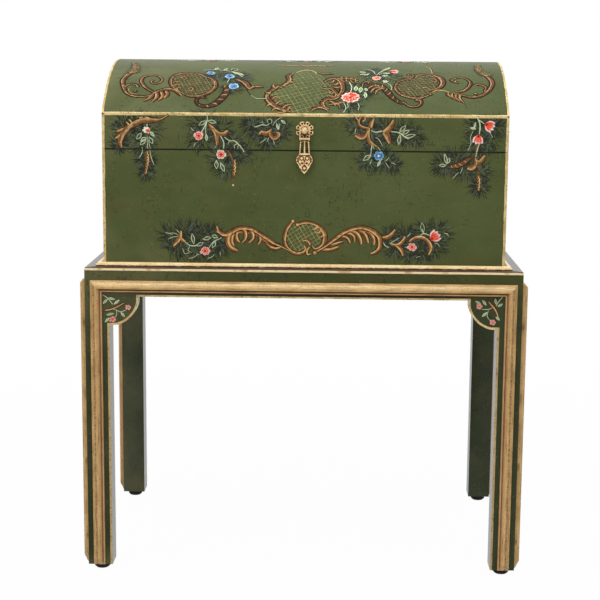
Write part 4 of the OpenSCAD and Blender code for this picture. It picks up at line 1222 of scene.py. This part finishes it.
def spray_five(p):
    p.foliage([(296, 42, 24), (322, 44, 24), (318, 20, 22), (298, 14, 22), (262, -14, 24), (240, -22, 20),
               (276, -30, 18), (304, -34, 20), (304, -58, 16)], 117)
    p.stem([(295, 62), (300, 53), (302, 44), (301, 31)], 2.0)
    p.stem([(299, 56), (309, 49)], 1.3)
    p.tulip((319, 45), -25, 14)
    p.tulip((299, 21), -95, 13)
    p.leaves([(295, 40, 285, 42), (292, 41, 294, 52)], 4, True)
    p.tendrils([[(290, 36), (286, 26), (287, 15), (282, 3)], [(274, -26), (270, -37)],
                [(267, -35), (257, -45)], [(318, 36), (324, 26)]])
    p.brush("rust", [(300, 14), (297, 3), (295, -10)], (3.2, 3.4, 3), 0.14)
    p.stem([(301, 14), (298, 3), (296, -8)], 1.4)
    p.scroll([(295, -10), (296, -20), (290, -27), (282, -26)], (3, 5, 8, 7), 1)
    p.scroll([(297, -14), (303, -17), (312, -6)], (4, 7, 4), 1)
    p.banded([(290, -9), (281, -14), (272, -20), (262, -24), (252, -25)], (2, 5, 7, 7, 4), 5)
    p.leaves([(246, -21, 242, -3), (247, -20, 251, -10), (245, -23, 233, -23)], 5)
    p.brush("rust", [(302, -20), (301, -32), (300, -42)], (1.2, 1.6, 1.6), 0.16)
    p.twig([(301, -40), (303, -52), (302, -66)], 6.5)
    p.brush("shade", [(302, -66), (302, -74), (304, -82)], (1.6, 1.2, 0.4), 0.1)


# Ornament along the bottom of the case

def case_cartouche(p):
    p.trellis([(-22, -130), (-10, -127), (2, -127), (14, -128), (22, -134), (28, -142), (29, -153),
               (25, -163), (14, -164), (4, -158), (-4, -160), (0, -172), (-10, -176), (-22, -170),
               (-30, -158), (-30, -144)], (-58, 6.5), (32, 6.5), weight=1.4, ground=False)
    p.scroll([(-19, -121), (-25, -129), (-31, -138), (-34, -149), (-34, -160), (-30, -169), (-23, -176),
              (-12, -180), (-3, -178), (3, -172), (0, -165)], (3, 5, 6, 6, 5, 5, 5, 3), 1)
    p.knob((-20, -123), 3.2)
    p.scroll([(-14, -129), (-4, -126), (8, -125), (20, -129), (29, -135), (35, -144), (36, -153),
              (33, -163), (27, -169), (18, -171), (14, -165)], (4, 5, 4, 5, 8, 8, 6, 4, 3), -1)
    p.knob((-12, -129), 3)
    p.fingers([(24, -130, 14, -137), (30, -137, 19, -143), (33, -147, 25, -150)], 4, 0.25)
    p.scroll([(-3, -157), (3, -156), (8, -158), (11, -164)], (2, 3.5, 6, 4), -1)
    p.scroll([(9, -168), (5, -174), (6, -181), (11, -180)], (3, 4, 3), 1)
    p.knob((19, -178), 3.4)


def case_leaf(p, side, blade, spine, width, ribs, roots):
    """A long acanthus leaf that arches out from the cartouche, hung with ribs. side is -1 for the left."""
    body = (2, 8, 11, 11, 7)
    p.brush("umber", blade, scaled(body, 1, 1), 0.03)
    p.brush("rust", blade, body, 0.07)
    p.brush("ochre", beside(blade, body, 0.1), (1, 4, 6, 6, 3), 0.11)
    p.ribs(ribs, 0.06)
    p.ribs(roots, 0.1)
    p.scroll(spine, width, -side, 0.3)


def case_leaf_left(p):
    blade = [(-60, -158), (-75, -150), (-90, -143), (-104, -140), (-116, -142), (-128, -149)]
    spine = [(-27, -174), (-41, -167), (-54, -161), (-66, -153), (-79, -145), (-91, -138), (-104, -136),
             (-116, -137), (-127, -143), (-135, -147), (-143, -147), (-150, -142), (-153, -133)]
    ribs = [([(-86, -141), (-80, -147), (-77, -156), (-81, -164)], 5),
            ([(-97, -138), (-91, -144), (-90, -153), (-97, -161)], 5.5),
            ([(-108, -137), (-103, -143), (-103, -153), (-109, -161)], 5.5),
            ([(-114, -138), (-119, -146), (-118, -155), (-114, -161)], 6),
            ([(-123, -142), (-127, -152), (-127, -162), (-123, -168)], 6.5),
            ([(-130, -146), (-134, -157), (-130, -169), (-117, -176)], 8)]
    roots = [([(-75, -152), (-64, -159), (-53, -163), (-41, -166)], 6),
             ([(-66, -163), (-58, -169), (-49, -171), (-39, -168)], 4.5)]
    case_leaf(p, -1, blade, spine, (0.8, 2, 4, 6, 6, 5.5, 5.5, 6, 7, 7.5, 7.5, 6, 3), ribs, roots)


def case_leaf_right(p):
    blade = [(55, -155), (68, -147), (84, -140), (98, -138), (112, -141), (124, -148)]
    spine = [(22, -175), (34, -168), (45, -160), (58, -150), (71, -141), (86, -135), (100, -133),
             (114, -136), (124, -142), (131, -149), (133, -159), (132, -167), (127, -174), (117, -179)]
    ribs = [([(60, -150), (70, -149), (77, -153), (80, -160)], 5),
            ([(70, -143), (81, -144), (87, -149), (88, -158)], 5.5),
            ([(82, -139), (92, -143), (98, -152), (100, -162)], 6),
            ([(95, -137), (105, -143), (110, -152), (112, -160)], 5.5),
            ([(108, -138), (117, -144), (122, -153), (122, -163)], 6)]
    roots = [([(45, -165), (57, -161), (69, -157)], 4.5), ([(32, -172), (45, -172), (60, -167)], 5.5)]
    case_leaf(p, 1, blade, spine, (2, 3.5, 5, 6, 6, 5.5, 5.5, 6, 7, 8, 8.5, 8, 6.5, 3), ribs, roots)


def case_flowers_left(p):
    p.foliage([(-232, -150, 28), (-206, -146, 26), (-182, -150, 24), (-160, -150, 20), (-222, -172, 24),
               (-192, -178, 22), (-164, -176, 22), (-146, -168, 18)], 114)
    p.scroll([(-217, -142), (-218, -152), (-223, -160), (-230, -168)], (4, 7, 8, 4), 1)
    p.scroll([(-219, -152), (-215, -158), (-209, -161)], (5, 6, 4), 1)
    p.tendrils([[(-221, -150), (-228, -146), (-236, -146)], [(-222, -152), (-231, -153), (-240, -157)],
                [(-219, -146), (-224, -140)], [(-231, -148), (-244, -145)]])
    p.stem([(-209, -162), (-199, -168), (-189, -167), (-178, -163)], 1.6)
    p.leaves([(-194, -165, -197, -146), (-189, -168, -177, -162), (-163, -153, -178, -156),
              (-152, -153, -162, -149), (-156, -160, -161, -171)], 6)
    p.stem([(-168, -172), (-160, -161), (-145, -153)], 1.3)
    p.flower((-174, -177), 8.5, 7, *RED)
    p.tendrils([[(-201, -168), (-204, -176), (-198, -180)], [(-214, -172), (-210, -182), (-202, -180)],
                [(-204, -190), (-196, -189), (-188, -184)], [(-170, -190), (-162, -187), (-158, -182)],
                [(-148, -178), (-147, -184)], [(-184, -184), (-190, -182)]])


def case_flowers_right(p):
    p.foliage([(150, -150, 20), (160, -168, 24), (184, -172, 22), (206, -172, 22), (212, -140, 24),
               (232, -142, 28), (226, -164, 24), (178, -150, 20)], 114)
    p.scroll([(137, -150), (146, -149), (154, -143), (159, -136)], (5, 8, 7, 4), 1)
    p.scroll([(151, -161), (162, -163), (171, -158), (177, -148)], (4, 7, 7, 4), 1)
    p.scroll([(162, -163), (170, -171), (174, -181)], (6, 7, 4), -1)
    p.scroll([(184, -157), (193, -150), (206, -149), (216, -155), (222, -166), (218, -179)],
             (4, 6, 7, 7, 3), 1)
    p.flower((189, -166), 8, 6, *RED)
    p.tulip((229, -146), 40, 15)
    p.leaf((208, -141), (205, -123), 7)
    p.stem([(201, -149), (208, -142), (219, -145)], 1.5)
    p.stem([(138, -157), (142, -164), (148, -167)], 1.4)
    p.stem([(150, -160), (160, -154), (166, -150)], 1.0)
    p.tendrils([[(176, -166), (183, -167)], [(244, -141), (250, -142), (252, -146)],
                [(228, -158), (234, -160), (238, -165)], [(180, -148), (186, -142)],
                [(196, -184), (204, -182)]])


# Sprays on the stand's brackets, which reach over on to the leg and the rail

def bracket_spray_left(p):
    p.stem([(-351, 3), (-342, -2), (-332, -14)], 1.4)
    p.leaves([(-340, -4, -349, -13), (-340, -3, -328, -5), (-330, -14, -320, -6), (-318, -28, -311, -36),
              (-330, -30, -343, -33), (-338, -38, -346, -46)], 4.5, True)
    p.scroll([(-345, -25), (-335, -23), (-325, -19), (-313, -12)], (2, 3, 3, 2), 1)
    p.stem([(-331, -22), (-318, -27), (-308, -23)], 1.1)
    p.stem([(-325, -24), (-326, -34), (-331, -39)], 1.1)
    p.flower((-305, -19), 5, 5, *RED)
    p.flower((-333, -41), 5.5, 5, *RED)


def bracket_spray_right(p):
    p.stem([(346, 7), (340, 0), (335, -9)], 1.4)
    p.leaves([(318, -8, 311, 1), (309, -6, 299, -1), (335, -6, 333, 4), (338, -10, 346, -5),
              (320, -20, 311, -28), (335, -28, 342, -34)], 4.5, True)
    p.scroll([(322, -2), (330, -11), (335, -18), (339, -28)], (2, 3.5, 3, 2), 1)
    p.stem([(310, -15), (322, -15), (328, -12)], 1.1)
    p.stem([(322, -17), (320, -27), (326, -35)], 1.1)
    p.flower((306, -10), 5, 5, *RED)
    p.flower((330, -38), 5.5, 5, *RED)


def end_spray(p):
    """One plain spray for each end of the case, like those in front."""
    p.foliage([(-46, -96, 26), (-20, -104, 26), (8, -104, 26), (34, -98, 26), (0, -88, 22)], 114)
    for side in (-1, 1):
        p.scroll([(side * 4, -112), (side * 24, -104), (side * 44, -106), (side * 62, -96),
                  (side * 66, -82), (side * 56, -78)], (3, 6, 8, 7, 5, 3), side)
        p.fingers([(side * 22, -104, side * 28, -120), (side * 34, -105, side * 42, -121),
                   (side * 46, -105, side * 56, -119)], 6, 0.2 * side)
        p.stem([(side * 4, -108), (side * 16, -92), (side * 34, -86)], 1.5)
        p.leaves([(side * 18, -91, side * 22, -76), (side * 28, -88, side * 38, -100)], 7)
        petals = ("cobalt", "sky") if side < 0 else ("coral", "blush")
        p.flower((side * 38, -84), 9, 5, *petals, "ivory")
    p.rose((0, -94), 14)


# How each kind of motif is painted: its scrollwork's paints, its dark edges and its weight
MANNERS = {
    "dome": {"body": "brown", "bright": "tan", "outline": 3.8, "hand": 1.25},
    "spray": {"body": "tawny", "bright": "sand", "outline": 2.2, "hand": 1.3},
    "case": {},
}
MOTIFS = (dome_end_left, dome_end_right, dome_trellis_left, dome_trellis_right, dome_tails, dome_cartouche,
          dome_flowers, spray_one, spray_two, spray_three, spray_four, spray_five, case_cartouche,
          case_leaf_left, case_leaf_right, case_flowers_left, case_flowers_right)

for motif in MOTIFS:
    name = motif.__name__
    motif(Painter("chest", name, **MANNERS[name.split("_")[0]]))
crest_flowers(Painter("crest", 4))
end_spray(Painter("left_end", 5))
end_spray(Painter("right_end", 6))
bracket_spray_left(Painter("stand_0", 7, shift=(0, RAIL_Z)))
bracket_spray_right(Painter("stand_0", 8, shift=(0, RAIL_Z)))


# Gilt lines

def mitred(points, widths):
    """Rows of a flat ribbon along a line with true corners: left edge, middle, right edge."""
    rows = []
    for k, (u, v) in enumerate(points):
        before, after = points[max(k - 1, 0)], points[min(k + 1, len(points) - 1)]
        first = Vector((u - before[0], v - before[1])) if k else Vector((after[0] - u, after[1] - v))
        last = Vector((after[0] - u, after[1] - v)) if k < len(points) - 1 else first
        normals = [Vector((-way.y, way.x)).normalized() for way in (first, last)]
        lean = (normals[0] + normals[1]) * widths[k] / 2 / (1 + normals[0].dot(normals[1]))
        rows.append([(u + lean.x * t, v + lean.y * t, height)
                     for t, height in ((-1, GILT_EDGE), (0, 0.2), (1, GILT_EDGE))])
    return rows


def stand_line(turn):
    """The gilt line along a side's opening: up a leg, round both brackets and down the other leg."""
    width = FRAME_W if turn % 180 == 0 else FRAME_D
    inner = width / 2 - LEG_W
    leg_w, arc_w, rail_w = 3.8, 3.8, 3.2
    leg_steps, arc_steps, rail_steps = 24, 14, 12
    corner = RAIL_Z - BRACKET_REACH
    reach = BRACKET_R - arc_w / 2
    first = math.degrees(math.acos((BRACKET_REACH - arc_w / 2) / reach))
    half = [((-inner - leg_w / 2, FOOT_Z + (corner + arc_w / 2 - FOOT_Z) * k / leg_steps), leg_w)
            for k in range(leg_steps + 1)]
    for k in range(arc_steps + 1):
        angle = math.radians(first + (90 - 2 * first) * k / arc_steps)
        half.append(((-inner + reach * math.sin(angle), RAIL_Z - reach * math.cos(angle)), arc_w))
    top = RAIL_Z + rail_w / 2
    end = -inner + BRACKET_REACH - arc_w / 2
    half += [((end - end * k / rail_steps, top), rail_w) for k in range(rail_steps + 1)]
    whole = half + [((-u, v), size) for (u, v), size in half[-2::-1]]
    drift = random.Random(turn)
    rows = mitred([point for point, _ in whole], [size * drift.uniform(0.92, 1.08) for _, size in whole])
    Painter(f"stand_{turn}", turn).grid("gilt", rows)


for turn in SIDES:
    stand_line(turn)

for (surface, paint), layer in sorted(wet.items()):
    dry_paint(surface, paint, layer)


BAND_STEP = 6.0     # between the rows of a gilt strip's faces
STRIPE_FOOT = 3     # from the chest's foot to that of its stripes


def gilt_band(body, place, start, end, across):
    """A gilt strip with hand-drawn edges. place turns (s, t, lift) into a point, and across lists each t."""
    count = max(2, round(abs(end - start) / BAND_STEP))
    points, faces = [], []
    for k in range(count + 1):
        s = start + (end - start) * k / count
        for column, t in enumerate(across):
            outer = column in (0, len(across) - 1)
            drift = 0.7 * wobble(Vector((s * 0.05, t, len(dry)))) if outer else 0.0
            points.append(place(s, t + drift, GILT_EDGE if outer else 0.22))
    size = len(across)
    for k in range(count):
        for column in range(size - 1):
            corner = k * size + column
            faces.append((corner, corner + 1, corner + size + 1, corner + size))
    dry.setdefault((body, "gilt"), []).append((points, faces))


# Places across the stripes: from the end face, round the arris and on to the front, or up the dome
CASE_STRIPE = (-3.0, -1.5, -0.35, 0.35, 1.8, 3.2, 4.4)
DOME_STRIPE = (-2.6, -1.4, -0.35, 0.35, 1.4, 2.3, 3.2)
SPRING_STRIPE = (-3.6, -2.4, -1.2, 0, 1.3, 2.6)


def corner_place(side, back):
    """Round the chest's upright arris: negative t on the end, positive t on the front or back."""
    def place(z, t, lift):
        x = HALF_W - max(t, 0) + (lift if t < 0.5 else 0)
        y = HALF_D + min(t, 0) + (lift if t > -0.5 else 0)
        return (side * x, back * y, z)
    return place


def dome_place(side):
    """Round the arris between dome and end. s is the length over the dome from the crest."""
    def place(s, t, lift):
        angle = s / DOME_R
        reach = DOME_R + min(t, 0) + (0.4 * lift if t > -0.5 else 0)
        x = HALF_W - max(t, 0) + (lift if t < 0.5 else 0)
        return (side * x, reach * math.sin(angle), DOME_Z + reach * math.cos(angle))
    return place


def spring_place(back):
    """Across the arris where the dome springs from the upright part."""
    def place(u, t, lift):
        x, y, z = chest_skin(u, SPRING_V + t, lift)
        return (x, -back * y, z)
    return place


for side in (-1, 1):
    for back in (-1, 1):
        gilt_band("lid", corner_place(side, back), LID_BASE, SPRING_Z, CASE_STRIPE)
        gilt_band("chest", corner_place(side, back), CASE_Z + STRIPE_FOOT, CASE_TOP, CASE_STRIPE)
    reach = CREST_V - SPRING_V
    gilt_band("lid", dome_place(side), -reach, reach, DOME_STRIPE)
for back in (-1, 1):
    gilt_band("lid", spring_place(back), -HALF_W, HALF_W, SPRING_STRIPE)


def lay_piece(name, body, patches, material, slot=None):
    """Joins patches of points and faces into one piece that rides on a body."""
    mesh = bpy.data.meshes.new(name)
    points, faces = [], []
    for patch_points, patch_faces in patches:
        base = len(points)
        points += [tuple(value * MM for value in point) for point in patch_points]
        faces += [tuple(base + index for index in face) for face in patch_faces]
    mesh.from_pydata(points, [], faces)
    mesh.validate()
    mesh.shade_smooth()
    mesh.materials.append(material)
    piece = bpy.data.objects.new(name, mesh)
    bpy.context.collection.objects.link(piece)
    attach(piece, body)
    return piece


for (body, paint), patches in sorted(dry.items()):
    lay_piece(f"{body}_{paint}_paint", body, patches, PAINTS[paint],
              "gilt_moulding" if paint == "gilt" else None)


# The pendant pull
# Places on it are (x, out, up) from the rosette's middle on the lid's face.

def pull_point(x, out, up):
    """That place on the object."""
    return (x, -HALF_D - out, PULL_Z + up)


def tube(points, radii, sides=10):
    """A round bar along points, with a radius for each."""
    shape, faces = [], []
    for k, point in enumerate(points):
        before, after = Vector(points[max(k - 1, 0)]), Vector(points[min(k + 1, len(points) - 1)])
        turn = (after - before).to_track_quat("Z", "X")
        for side in range(sides):
            angle = 2 * math.pi * side / sides
            edge = turn @ Vector((radii[k] * math.cos(angle), radii[k] * math.sin(angle), 0))
            shape.append(tuple(Vector(point) + edge))
    for k in range(len(points) - 1):
        for side in range(sides):
            low, high = k * sides, (k + 1) * sides
            nxt = (side + 1) % sides
            faces.append((low + side, low + nxt, high + nxt, high + side))
    faces.append(tuple(range(sides))[::-1])
    faces.append(tuple(range((len(points) - 1) * sides, len(points) * sides)))
    return shape, faces


def bump(distance, width):
    """A smooth hill: 1 where the distance is 0, gone at about twice the width."""
    return math.exp(-(distance / width) ** 2)


LOBES = 8
ROSETTE_R = 15.5
EYE_R = 3           # the hole for the post
PETAL_REACH = 8.2   # from the rosette's middle to the ring of petals
LOBE_REACH = 12.0   # and to the pit in each lobe


def rosette_relief(reach, angle, edge):
    """Height of the rosette: a hollow round the ball, fluted petals, and a ringed pit in each lobe."""
    lobe = (math.floor(angle / (2 * math.pi / LOBES)) + 0.5) * 2 * math.pi / LOBES
    pit = math.dist(polar((0, 0), reach, angle), polar((0, 0), LOBE_REACH, lobe))
    petals = bump(reach - PETAL_REACH, 1.9) * (0.45 + 0.55 * math.cos(LOBES * angle) ** 2)
    height = 0.5 + 1.9 * petals + 1.5 * bump(pit - 2.5, 0.8) + 1.0 * bump(edge - 1.0 - reach, 0.9)
    height += 0.25 * math.cos(4 * LOBES * angle) * bump(edge - 1.2 - reach, 1.0)
    # the hollow is deepest below the ball, where the colour by height paints it dark as painted shade under
    # the ball
    height -= 2.2 * bump(reach - PETAL_REACH + 1, 2.4) * max(0.0, -math.sin(angle)) ** 1.5
    height -= 1.0 * bump(reach - LOBE_REACH, 2.6) * (0.5 - 0.5 * math.cos(LOBES * angle + math.pi)) ** 5
    return max(0.1, min(2.5, height) - 1.2 * bump(pit, 1.3) - 1.4 * bump(edge - reach, 0.35))


def rosette_shape():
    """The rosette: an eight-lobed disc in relief."""
    rounds, sides = 44, 176
    disc, faces = [], []
    for k in range(rounds + 2):
        for j in range(sides):
            angle = 2 * math.pi * j / sides
            edge = ROSETTE_R + 0.9 * math.cos(LOBES * angle + math.pi)
            reach = EYE_R + (edge - EYE_R) * min(k / rounds, 1)
            height = rosette_relief(reach, angle, edge) if k <= rounds else 0.0
            disc.append(pull_point(reach * math.cos(angle), height, reach * math.sin(angle)))
    for k in range(rounds + 1):
        for j in range(sides):
            a, b = k * sides, (k + 1) * sides
            nxt = (j + 1) % sides
            faces.append((a + j, b + j, b + nxt, a + nxt))
    return [(disc, faces)]


# The pendant's leaf, by distance below the pivot: its half widths, its flower and its end
LEAF_OUTLINE = [(40.5, 9.2), (45.6, 12.8), (50.3, 15.1), (54.9, 13.8), (58.4, 10.9), (63, 9.2), (67.7, 6.3),
                (71.1, 3.4), (74.3, 0.25)]
LEAF_FLOWER = 56.5
LEAF_END = 74.4


def leaf_half_width(drop):
    """Half width of the pendant's leaf at a distance below the pivot."""
    for (low, first), (high, last) in zip(LEAF_OUTLINE, LEAF_OUTLINE[1:]):
        if drop <= high:
            return first + (last - first) * (drop - low) / (high - low)
    return LEAF_OUTLINE[-1][1]


def leaf_relief(x, drop, half):
    """Height of the leaf's casting: a full face, cut back round its border, arches, petals and knob."""
    side = abs(x)
    below_flower = drop - LEAF_FLOWER
    turn, reach = math.atan2(below_flower, side), math.hypot(x, below_flower)
    height = 1.7 + 0.4 * bump(half - side - 1.2, 0.9)
    height -= 1.6 * bump(half - side - 3.1, 0.8) / (1 + math.exp((drop - 61) * 1.5))
    height -= 1.6 * bump(math.hypot(side - 4.8, drop - 47.8) - 3.3, 0.8) + 1.5 * bump(drop - 43.0, 0.7)
    height -= 1.4 * bump(math.hypot(side - 12.2, drop - 51) - 2.6, 0.7)
    height -= 1.7 * bump(reach - 3.8, 2.4) * math.cos(2 * turn) ** 2 + 1.2 * bump(reach, 0.9)
    height -= 1.5 * bump(math.hypot(x, drop - 64.6) - 3.5, 0.9) + 1.2 * bump(drop - 70.6 + 0.6 * side, 0.7)
    return max(0.1, min(2.1, height + 0.15 * math.cos(drop * 2.6) * bump(half - side - 1.2, 0.9)))


def pendant_shape():
    """The pendant: two arms from the pivot, a slotted neck with a beaded bar, and a relief leaf."""
    out = -HALF_D - PIVOT_Y
    eye_x = box_mm("pull_pivot_pin")[1][0] - 0.9
    drop_tip = PULL_Z - box_mm("pull_pendant")[0][2]
    patches = []

    def at(x, drop, forward=0.0):
        """The place at that distance below the pivot and forward of its axis."""
        return pull_point(x, out + forward, -drop)

    for side in (-1, 1):
        patches.append(tube([at(side * (eye_x - 0.9), 0), at(side * (eye_x + 0.9), 0)], (2.5, 2.5), 18))
        arm = [(eye_x, 1.5), (eye_x + 0.6, 5), (eye_x + 0.9, 9), (eye_x + 0.6, 13), (eye_x, 17)]
        patches.append(tube([at(side * x, drop, 0.5) for x, drop in arm], (1.4, 1.35, 1.3, 1.4, 1.5)))
    for drop, half, thick, forward in ((14.2, 8.2, 1.6, 0.6), (18.2, 8.0, 1.4, -0.5),
                                       (40.6, 9.2, 1.5, 0.6)):
        cross = [(-half, 0.7), (-half * 0.6, 1), (0, 1.15), (half * 0.6, 1), (half, 0.7)]
        patches.append(tube([at(x, drop, forward) for x, _ in cross],
                            [thick * swell for _, swell in cross]))
    neck_top, neck_length = 19, 21
    bar_steps, bead_steps = 8, 44
    patches.append(tube([at(0, neck_top + neck_length * k / bar_steps, 0.3) for k in range(bar_steps + 1)],
                        [1.5 * (0.85 + 0.3 * k / bar_steps) for k in range(bar_steps + 1)]))
    for side in (-1, 1):
        beads = [(side * (6.7 + 1.5 * k / bead_steps), neck_top + neck_length * k / bead_steps)
                 for k in range(bead_steps + 1)]
        patches.append(tube([at(x, drop, 0.3) for x, drop in beads],
                            [0.75 + 0.9 * abs(math.sin(math.pi * k / 6.3)) for k in range(bead_steps + 1)]))
    rows, columns = 120, 60
    sheet, faces = [], []
    for side in (1, -1):
        for k in range(rows + 1):
            drop = LEAF_OUTLINE[0][0] + (min(drop_tip, LEAF_END) - LEAF_OUTLINE[0][0] - 0.05) * k / rows
            half = leaf_half_width(drop)
            for j in range(columns + 1):
                x = half * (2 * j / columns - 1)
                raised = leaf_relief(x, drop, half) if side > 0 else -0.8
                edge = 0.25 if j in (0, columns) else 1.0
                sheet.append(at(x, drop, raised * edge))
    width = columns + 1
    layer = (rows + 1) * width
    for k in range(rows):
        for j in range(columns):
            a = k * width + j
            faces.append((a, a + width, a + width + 1, a + 1))
            faces.append((layer + a, layer + a + 1, layer + a + width + 1, layer + a + width))
        for j, flip in ((0, False), (columns, True)):
            a = k * width + j
            face = (a, layer + a, layer + a + width, a + width)
            faces.append(face[::-1] if flip else face)
    for k, flip in ((0, True), (rows, False)):
        for j in range(columns):
            a = k * width + j
            face = (a, layer + a, layer + a + 1, a + 1)
            faces.append(face[::-1] if flip else face)
    return patches + [(sheet, faces)]


rosette = lay_piece("rosette_casting", "lid", rosette_shape(), RELIEF["rosette"], "antique_brass")
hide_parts("pull_rosette")
pendant = lay_piece("pendant_casting", "pendant", pendant_shape(), RELIEF["pendant"], "antique_brass")
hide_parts("pull_pendant")


# Camera, as solved from the photograph

CAMERA_AT = (54.4, -2786.3, 924.9)
YAW, PITCH, ROLL = -0.02343, 0.16684, 0.00812
FOCAL_PX, PICTURE_PX, SENSOR = 1483.5, 600, 36


def place_camera():
    """A camera like the one that took the photograph. Angles are in radians, and the pitch is downwards."""
    camera = bpy.data.objects.new("camera", bpy.data.cameras.new("camera"))
    bpy.context.collection.objects.link(camera)
    camera.data.sensor_width = SENSOR
    camera.data.lens = FOCAL_PX * SENSOR / PICTURE_PX
    forward = Vector((math.sin(YAW) * math.cos(PITCH), math.cos(YAW) * math.cos(PITCH), -math.sin(PITCH)))
    level = Vector((math.cos(YAW), -math.sin(YAW), 0))
    up = level.cross(forward)
    right = math.cos(ROLL) * level + math.sin(ROLL) * up
    up = math.cos(ROLL) * up - math.sin(ROLL) * level
    turn = Matrix((right, up, -forward)).transposed().to_4x4()
    camera.matrix_world = Matrix.Translation(Vector(CAMERA_AT) * MM) @ turn
    camera.data.clip_end = 100
    bpy.context.scene.camera = camera


# Studio

def background_rays(tree):
    """1 for rays that show the background: straight from the camera, in a reflection or through glass."""
    path = tree.add("ShaderNodeLightPath").outputs
    rays = [Number(tree, path[name]) for name in ("Is Camera Ray", "Is Glossy Ray", "Is Transmission Ray")]
    return tree.most(*rays), rays[0]


def light_world():
    """A soft sky, stronger from above, before a white backdrop."""
    world = bpy.data.worlds.new("studio")
    bpy.context.scene.world = world
    tree = NodeTree(world)
    seen, straight = background_rays(tree)
    _, y, z = tree.parts(tree.add("ShaderNodeTexCoord").outputs["Generated"])
    soft = 0.25 + 0.75 * tree.step(z, 0.0, 0.9)
    mirrored = 0.16 + 0.84 * tree.step(y, 0.0, 1.0)
    strength = soft + seen * (mirrored - soft)
    strength = strength + straight * (1 - strength)
    tree.feed(tree.tree.nodes["Background"].inputs["Color"], (1.0, 1.0, 1.0))
    tree.feed(tree.tree.nodes["Background"].inputs["Strength"], strength)


def area_lamp(name, spot, size, power, aim=(0, 0, 0.6)):
    """A rectangular lamp: its spot, size and aim in metres, its power in watts."""
    lamp = bpy.data.lights.new(name, "AREA")
    lamp.shape = "RECTANGLE"
    lamp.size, lamp.size_y = size
    lamp.energy = power
    holder = bpy.data.objects.new(name, lamp)
    bpy.context.collection.objects.link(holder)
    holder.location = spot
    holder.rotation_euler = (Vector(aim) - Vector(spot)).to_track_quat("-Z", "Y").to_euler()
    return holder


def lay_floor():
    """A pale floor that reads white, with the object's shadow left faintly on it."""
    mesh = bpy.data.meshes.new("studio_floor")
    reach = 14.0
    corners = [(-reach, -reach, 0), (reach, -reach, 0), (reach, reach, 0), (-reach, reach, 0)]
    mesh.from_pydata(corners, [], [(0, 1, 2, 3)])
    floor = bpy.data.objects.new("studio_floor", mesh)
    bpy.context.collection.objects.link(floor)
    material = bpy.data.materials.new("studio_floor")
    tree = NodeTree(material)
    tree.tree.nodes.remove(tree.tree.nodes["Principled BSDF"])
    seen, _ = background_rays(tree)
    x, y, _ = tree.parts(tree.add("ShaderNodeTexCoord").outputs["Object"])
    far = tree.step((x * x + y * y) ** 0.5, 0.7, 2.4)
    pale = tree.add("ShaderNodeBsdfDiffuse", None, {"Color": (0.45, 0.45, 0.45)})
    white = tree.add("ShaderNodeEmission", None, {"Color": (1.0, 1.0, 1.0), "Strength": 1.0})
    share = seen * (0.98 + 0.02 * far)
    mixed = tree.add("ShaderNodeMixShader", None, {0: share, 1: pale.outputs[0], 2: white.outputs[0]})
    tree.feed(tree.tree.nodes["Material Output"].inputs["Surface"], mixed.outputs[0])
    mesh.materials.append(material)


place_camera()
light_world()
lay_floor()
area_lamp("overhead", (0.0, -0.7, 2.6), (2.2, 1.6), 34).visible_glossy = False
area_lamp("left_softbox", (-1.5, -1.9, 1.9), (1.0, 1.2), 13, aim=(0, 0, 0.8))
area_lamp("right_softbox", (1.5, -1.9, 1.9), (1.0, 1.2), 7, aim=(0, 0, 0.8))
bpy.context.scene.view_settings.view_transform = "Standard"
